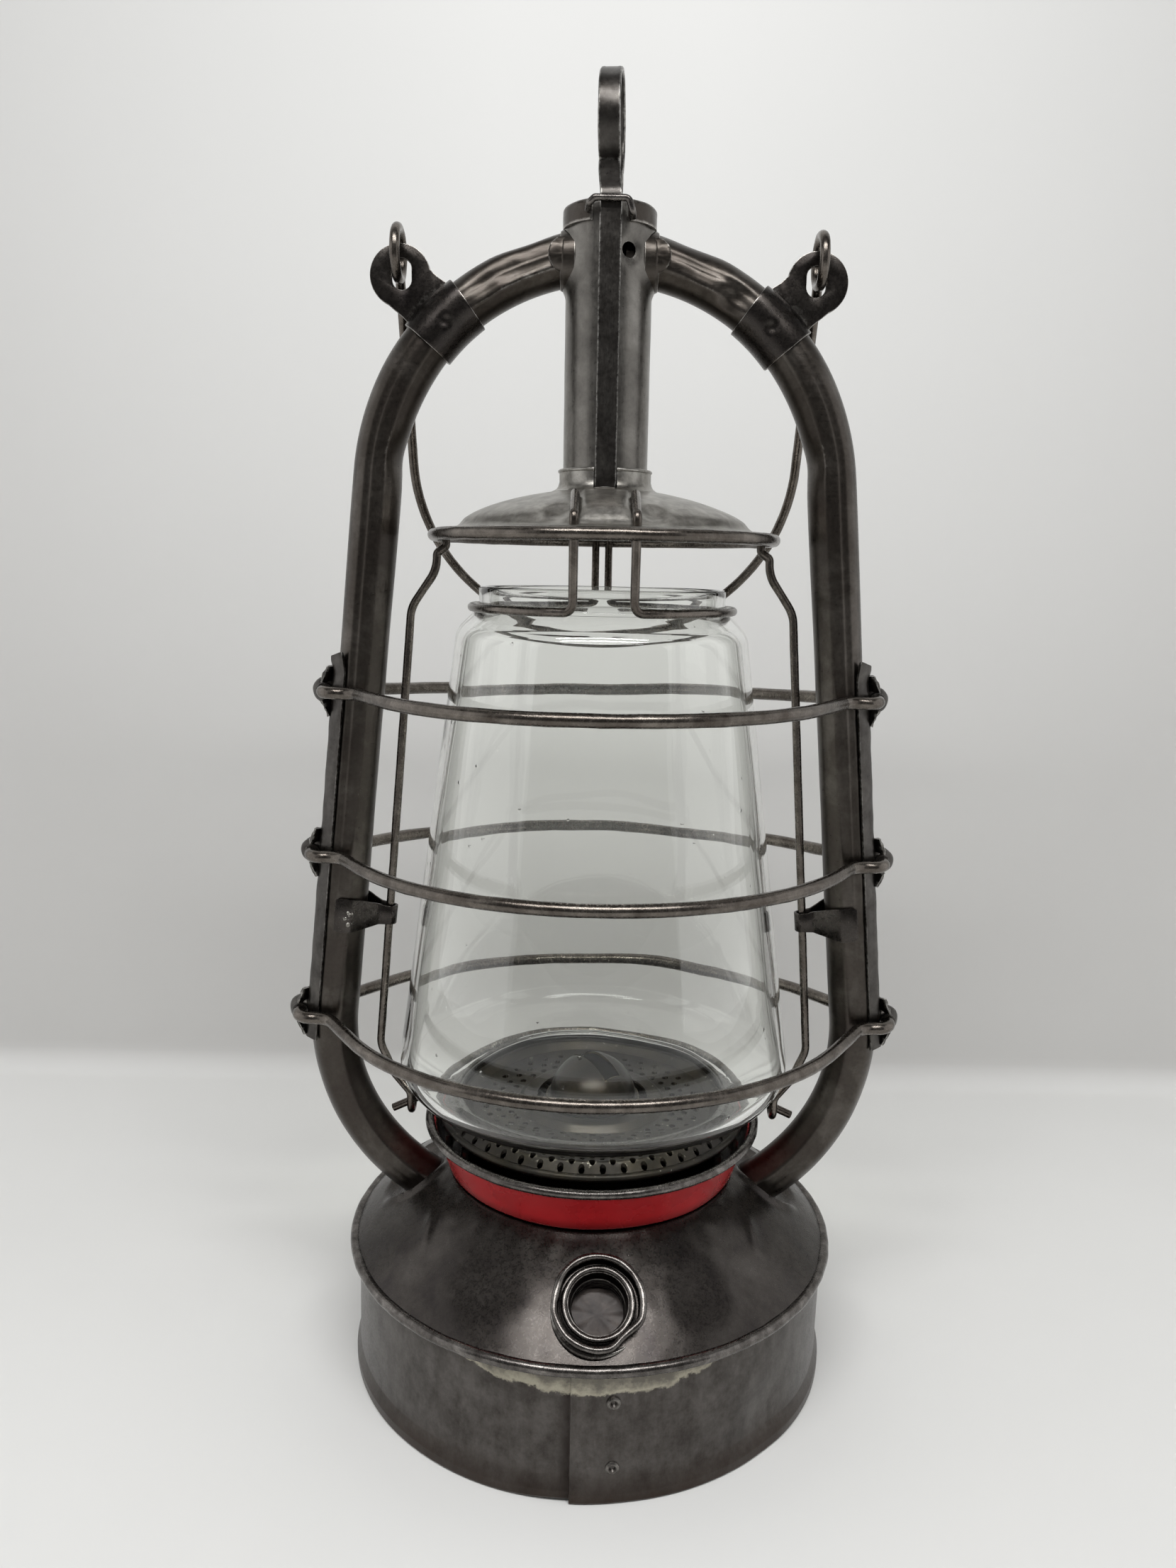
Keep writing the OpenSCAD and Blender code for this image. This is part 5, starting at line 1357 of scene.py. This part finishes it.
class LanternStage(bpy.types.PropertyGroup):
    """Paper and lamps"""

    bend_y: bpy.props.FloatProperty(name="Bend", description="Where the paper bends up behind the lantern",
                                    default=0.205, unit="LENGTH")
    strip_power: bpy.props.FloatProperty(name="Lamp strips", description="Power of each lamp strip", default=3.2,
                                         unit="POWER")
    ceiling_power: bpy.props.FloatProperty(name="Ceiling", description="Power of the pale ceiling", default=0.35,
                                           unit="POWER")
    wall_power: bpy.props.FloatProperty(name="Side walls", description="Power of each pale side wall", default=1.6,
                                        unit="POWER")
    sky: bpy.props.FloatProperty(name="Sky", description="Strength of the even light of the tent", default=0.13)


class LANTERN_OT_stage(bpy.types.Operator):
    """Paper sweep, soft lamps, world and camera"""

    bl_idname = "lantern.stage"
    bl_label = "Stage"

    def execute(self, context):
        make_sweep()
        make_lamps()
        make_camera()
        return {"FINISHED"}


class LANTERN_OT_fount(bpy.types.Operator):
    """Skirt, rivets and dome"""

    bl_idname = "lantern.fount"
    bl_label = "Fount"

    def execute(self, context):
        make_skirt()
        make_dome()
        return {"FINISHED"}


class LANTERN_OT_filler(bpy.types.Operator):
    """Drip collar and screw plug"""

    bl_idname = "lantern.filler"
    bl_label = "Filler"

    def execute(self, context):
        make_filler()
        return {"FINISHED"}


class LANTERN_OT_air_chamber(bpy.types.Operator):
    """Red band and its bead"""

    bl_idname = "lantern.air_chamber"
    bl_label = "Air chamber"

    def execute(self, context):
        make_air_chamber()
        return {"FINISHED"}


class LANTERN_OT_burner(bpy.types.Operator):
    """Punched plate and burner cone"""

    bl_idname = "lantern.burner"
    bl_label = "Burner"

    def execute(self, context):
        make_plate()
        make_burner()
        return {"FINISHED"}


class LANTERN_OT_globe(bpy.types.Operator):
    """Glass globe"""

    bl_idname = "lantern.globe"
    bl_label = "Globe"

    def execute(self, context):
        make_globe()
        return {"FINISHED"}


class LANTERN_OT_bell(bpy.types.Operator):
    """Tinned bell"""

    bl_idname = "lantern.bell"
    bl_label = "Bell"

    def execute(self, context):
        make_bell()
        return {"FINISHED"}


class LANTERN_OT_globe_wires(bpy.types.Operator):
    """Neck wires, lift rods and cradle"""

    bl_idname = "lantern.globe_wires"
    bl_label = "Globe wires"

    def execute(self, context):
        make_globe_wires()
        return {"FINISHED"}


class LANTERN_OT_tubes(bpy.types.Operator):
    """Side tubes"""

    bl_idname = "lantern.tubes"
    bl_label = "Side tubes"

    def execute(self, context):
        make_tubes()
        return {"FINISHED"}


class LANTERN_OT_chimney(bpy.types.Operator):
    """Chimney, cap, staples and flanges"""

    bl_idname = "lantern.chimney"
    bl_label = "Chimney"

    def execute(self, context):
        make_chimney()
        return {"FINISHED"}


class LANTERN_OT_lift_ring(bpy.types.Operator):
    """Lift strip and ring"""

    bl_idname = "lantern.lift_ring"
    bl_label = "Lift ring"

    def execute(self, context):
        make_lift_ring()
        return {"FINISHED"}


class LANTERN_OT_guard(bpy.types.Operator):
    """Guard hoops, strips and knobs"""

    bl_idname = "lantern.guard"
    bl_label = "Guard"

    def execute(self, context):
        make_guard()
        return {"FINISHED"}


class LANTERN_OT_clips(bpy.types.Operator):
    """Rod guides and bail clips"""

    bl_idname = "lantern.clips"
    bl_label = "Clips"

    def execute(self, context):
        make_clips()
        return {"FINISHED"}


class LANTERN_OT_bail(bpy.types.Operator):
    """Wire bail"""

    bl_idname = "lantern.bail"
    bl_label = "Bail"

    def execute(self, context):
        make_bail()
        return {"FINISHED"}


class LANTERN_OT_inner(bpy.types.Operator):
    """Materials of the solids that stay in view"""

    bl_idname = "lantern.inner"
    bl_label = "Inner pieces"

    def execute(self, context):
        dress_inner()
        return {"FINISHED"}


OPERATORS = (
    LANTERN_OT_stage,
    LANTERN_OT_fount,
    LANTERN_OT_filler,
    LANTERN_OT_air_chamber,
    LANTERN_OT_burner,
    LANTERN_OT_globe,
    LANTERN_OT_bell,
    LANTERN_OT_globe_wires,
    LANTERN_OT_tubes,
    LANTERN_OT_chimney,
    LANTERN_OT_lift_ring,
    LANTERN_OT_guard,
    LANTERN_OT_clips,
    LANTERN_OT_bail,
    LANTERN_OT_inner,
)
GROUPS = {"lantern_sizes": LanternSizes, "lantern_colours": LanternColours, "lantern_stage": LanternStage}


class LANTERN_PT_pieces(bpy.types.Panel):
    """Lists the operators that build the lantern"""

    bl_label = "Hot Blast Lantern"
    bl_idname = "LANTERN_PT_pieces"
    bl_space_type = "VIEW_3D"
    bl_region_type = "UI"
    bl_category = "Lantern"

    def draw(self, context):
        for group, kind in GROUPS.items():
            for key in kind.__annotations__:
                self.layout.prop(getattr(context.scene, group), key)
        for operator in OPERATORS:
            self.layout.operator(operator.bl_idname)


def register():
    """Add the classes and their settings to Blender"""
    for kind in (*GROUPS.values(), *OPERATORS, LANTERN_PT_pieces):
        bpy.utils.register_class(kind)
    for group, kind in GROUPS.items():
        setattr(bpy.types.Scene, group, bpy.props.PointerProperty(type=kind))


def unregister():
    """Take the settings and the classes out again"""
    for group in GROUPS:
        delattr(bpy.types.Scene, group)
    for kind in (LANTERN_PT_pieces, *OPERATORS[::-1], *GROUPS.values()):
        bpy.utils.unregister_class(kind)


def main():
    register()
    for operator in OPERATORS:
        getattr(bpy.ops.lantern, operator.bl_idname.split(".")[1])()


if __name__ == "__main__":
    main()
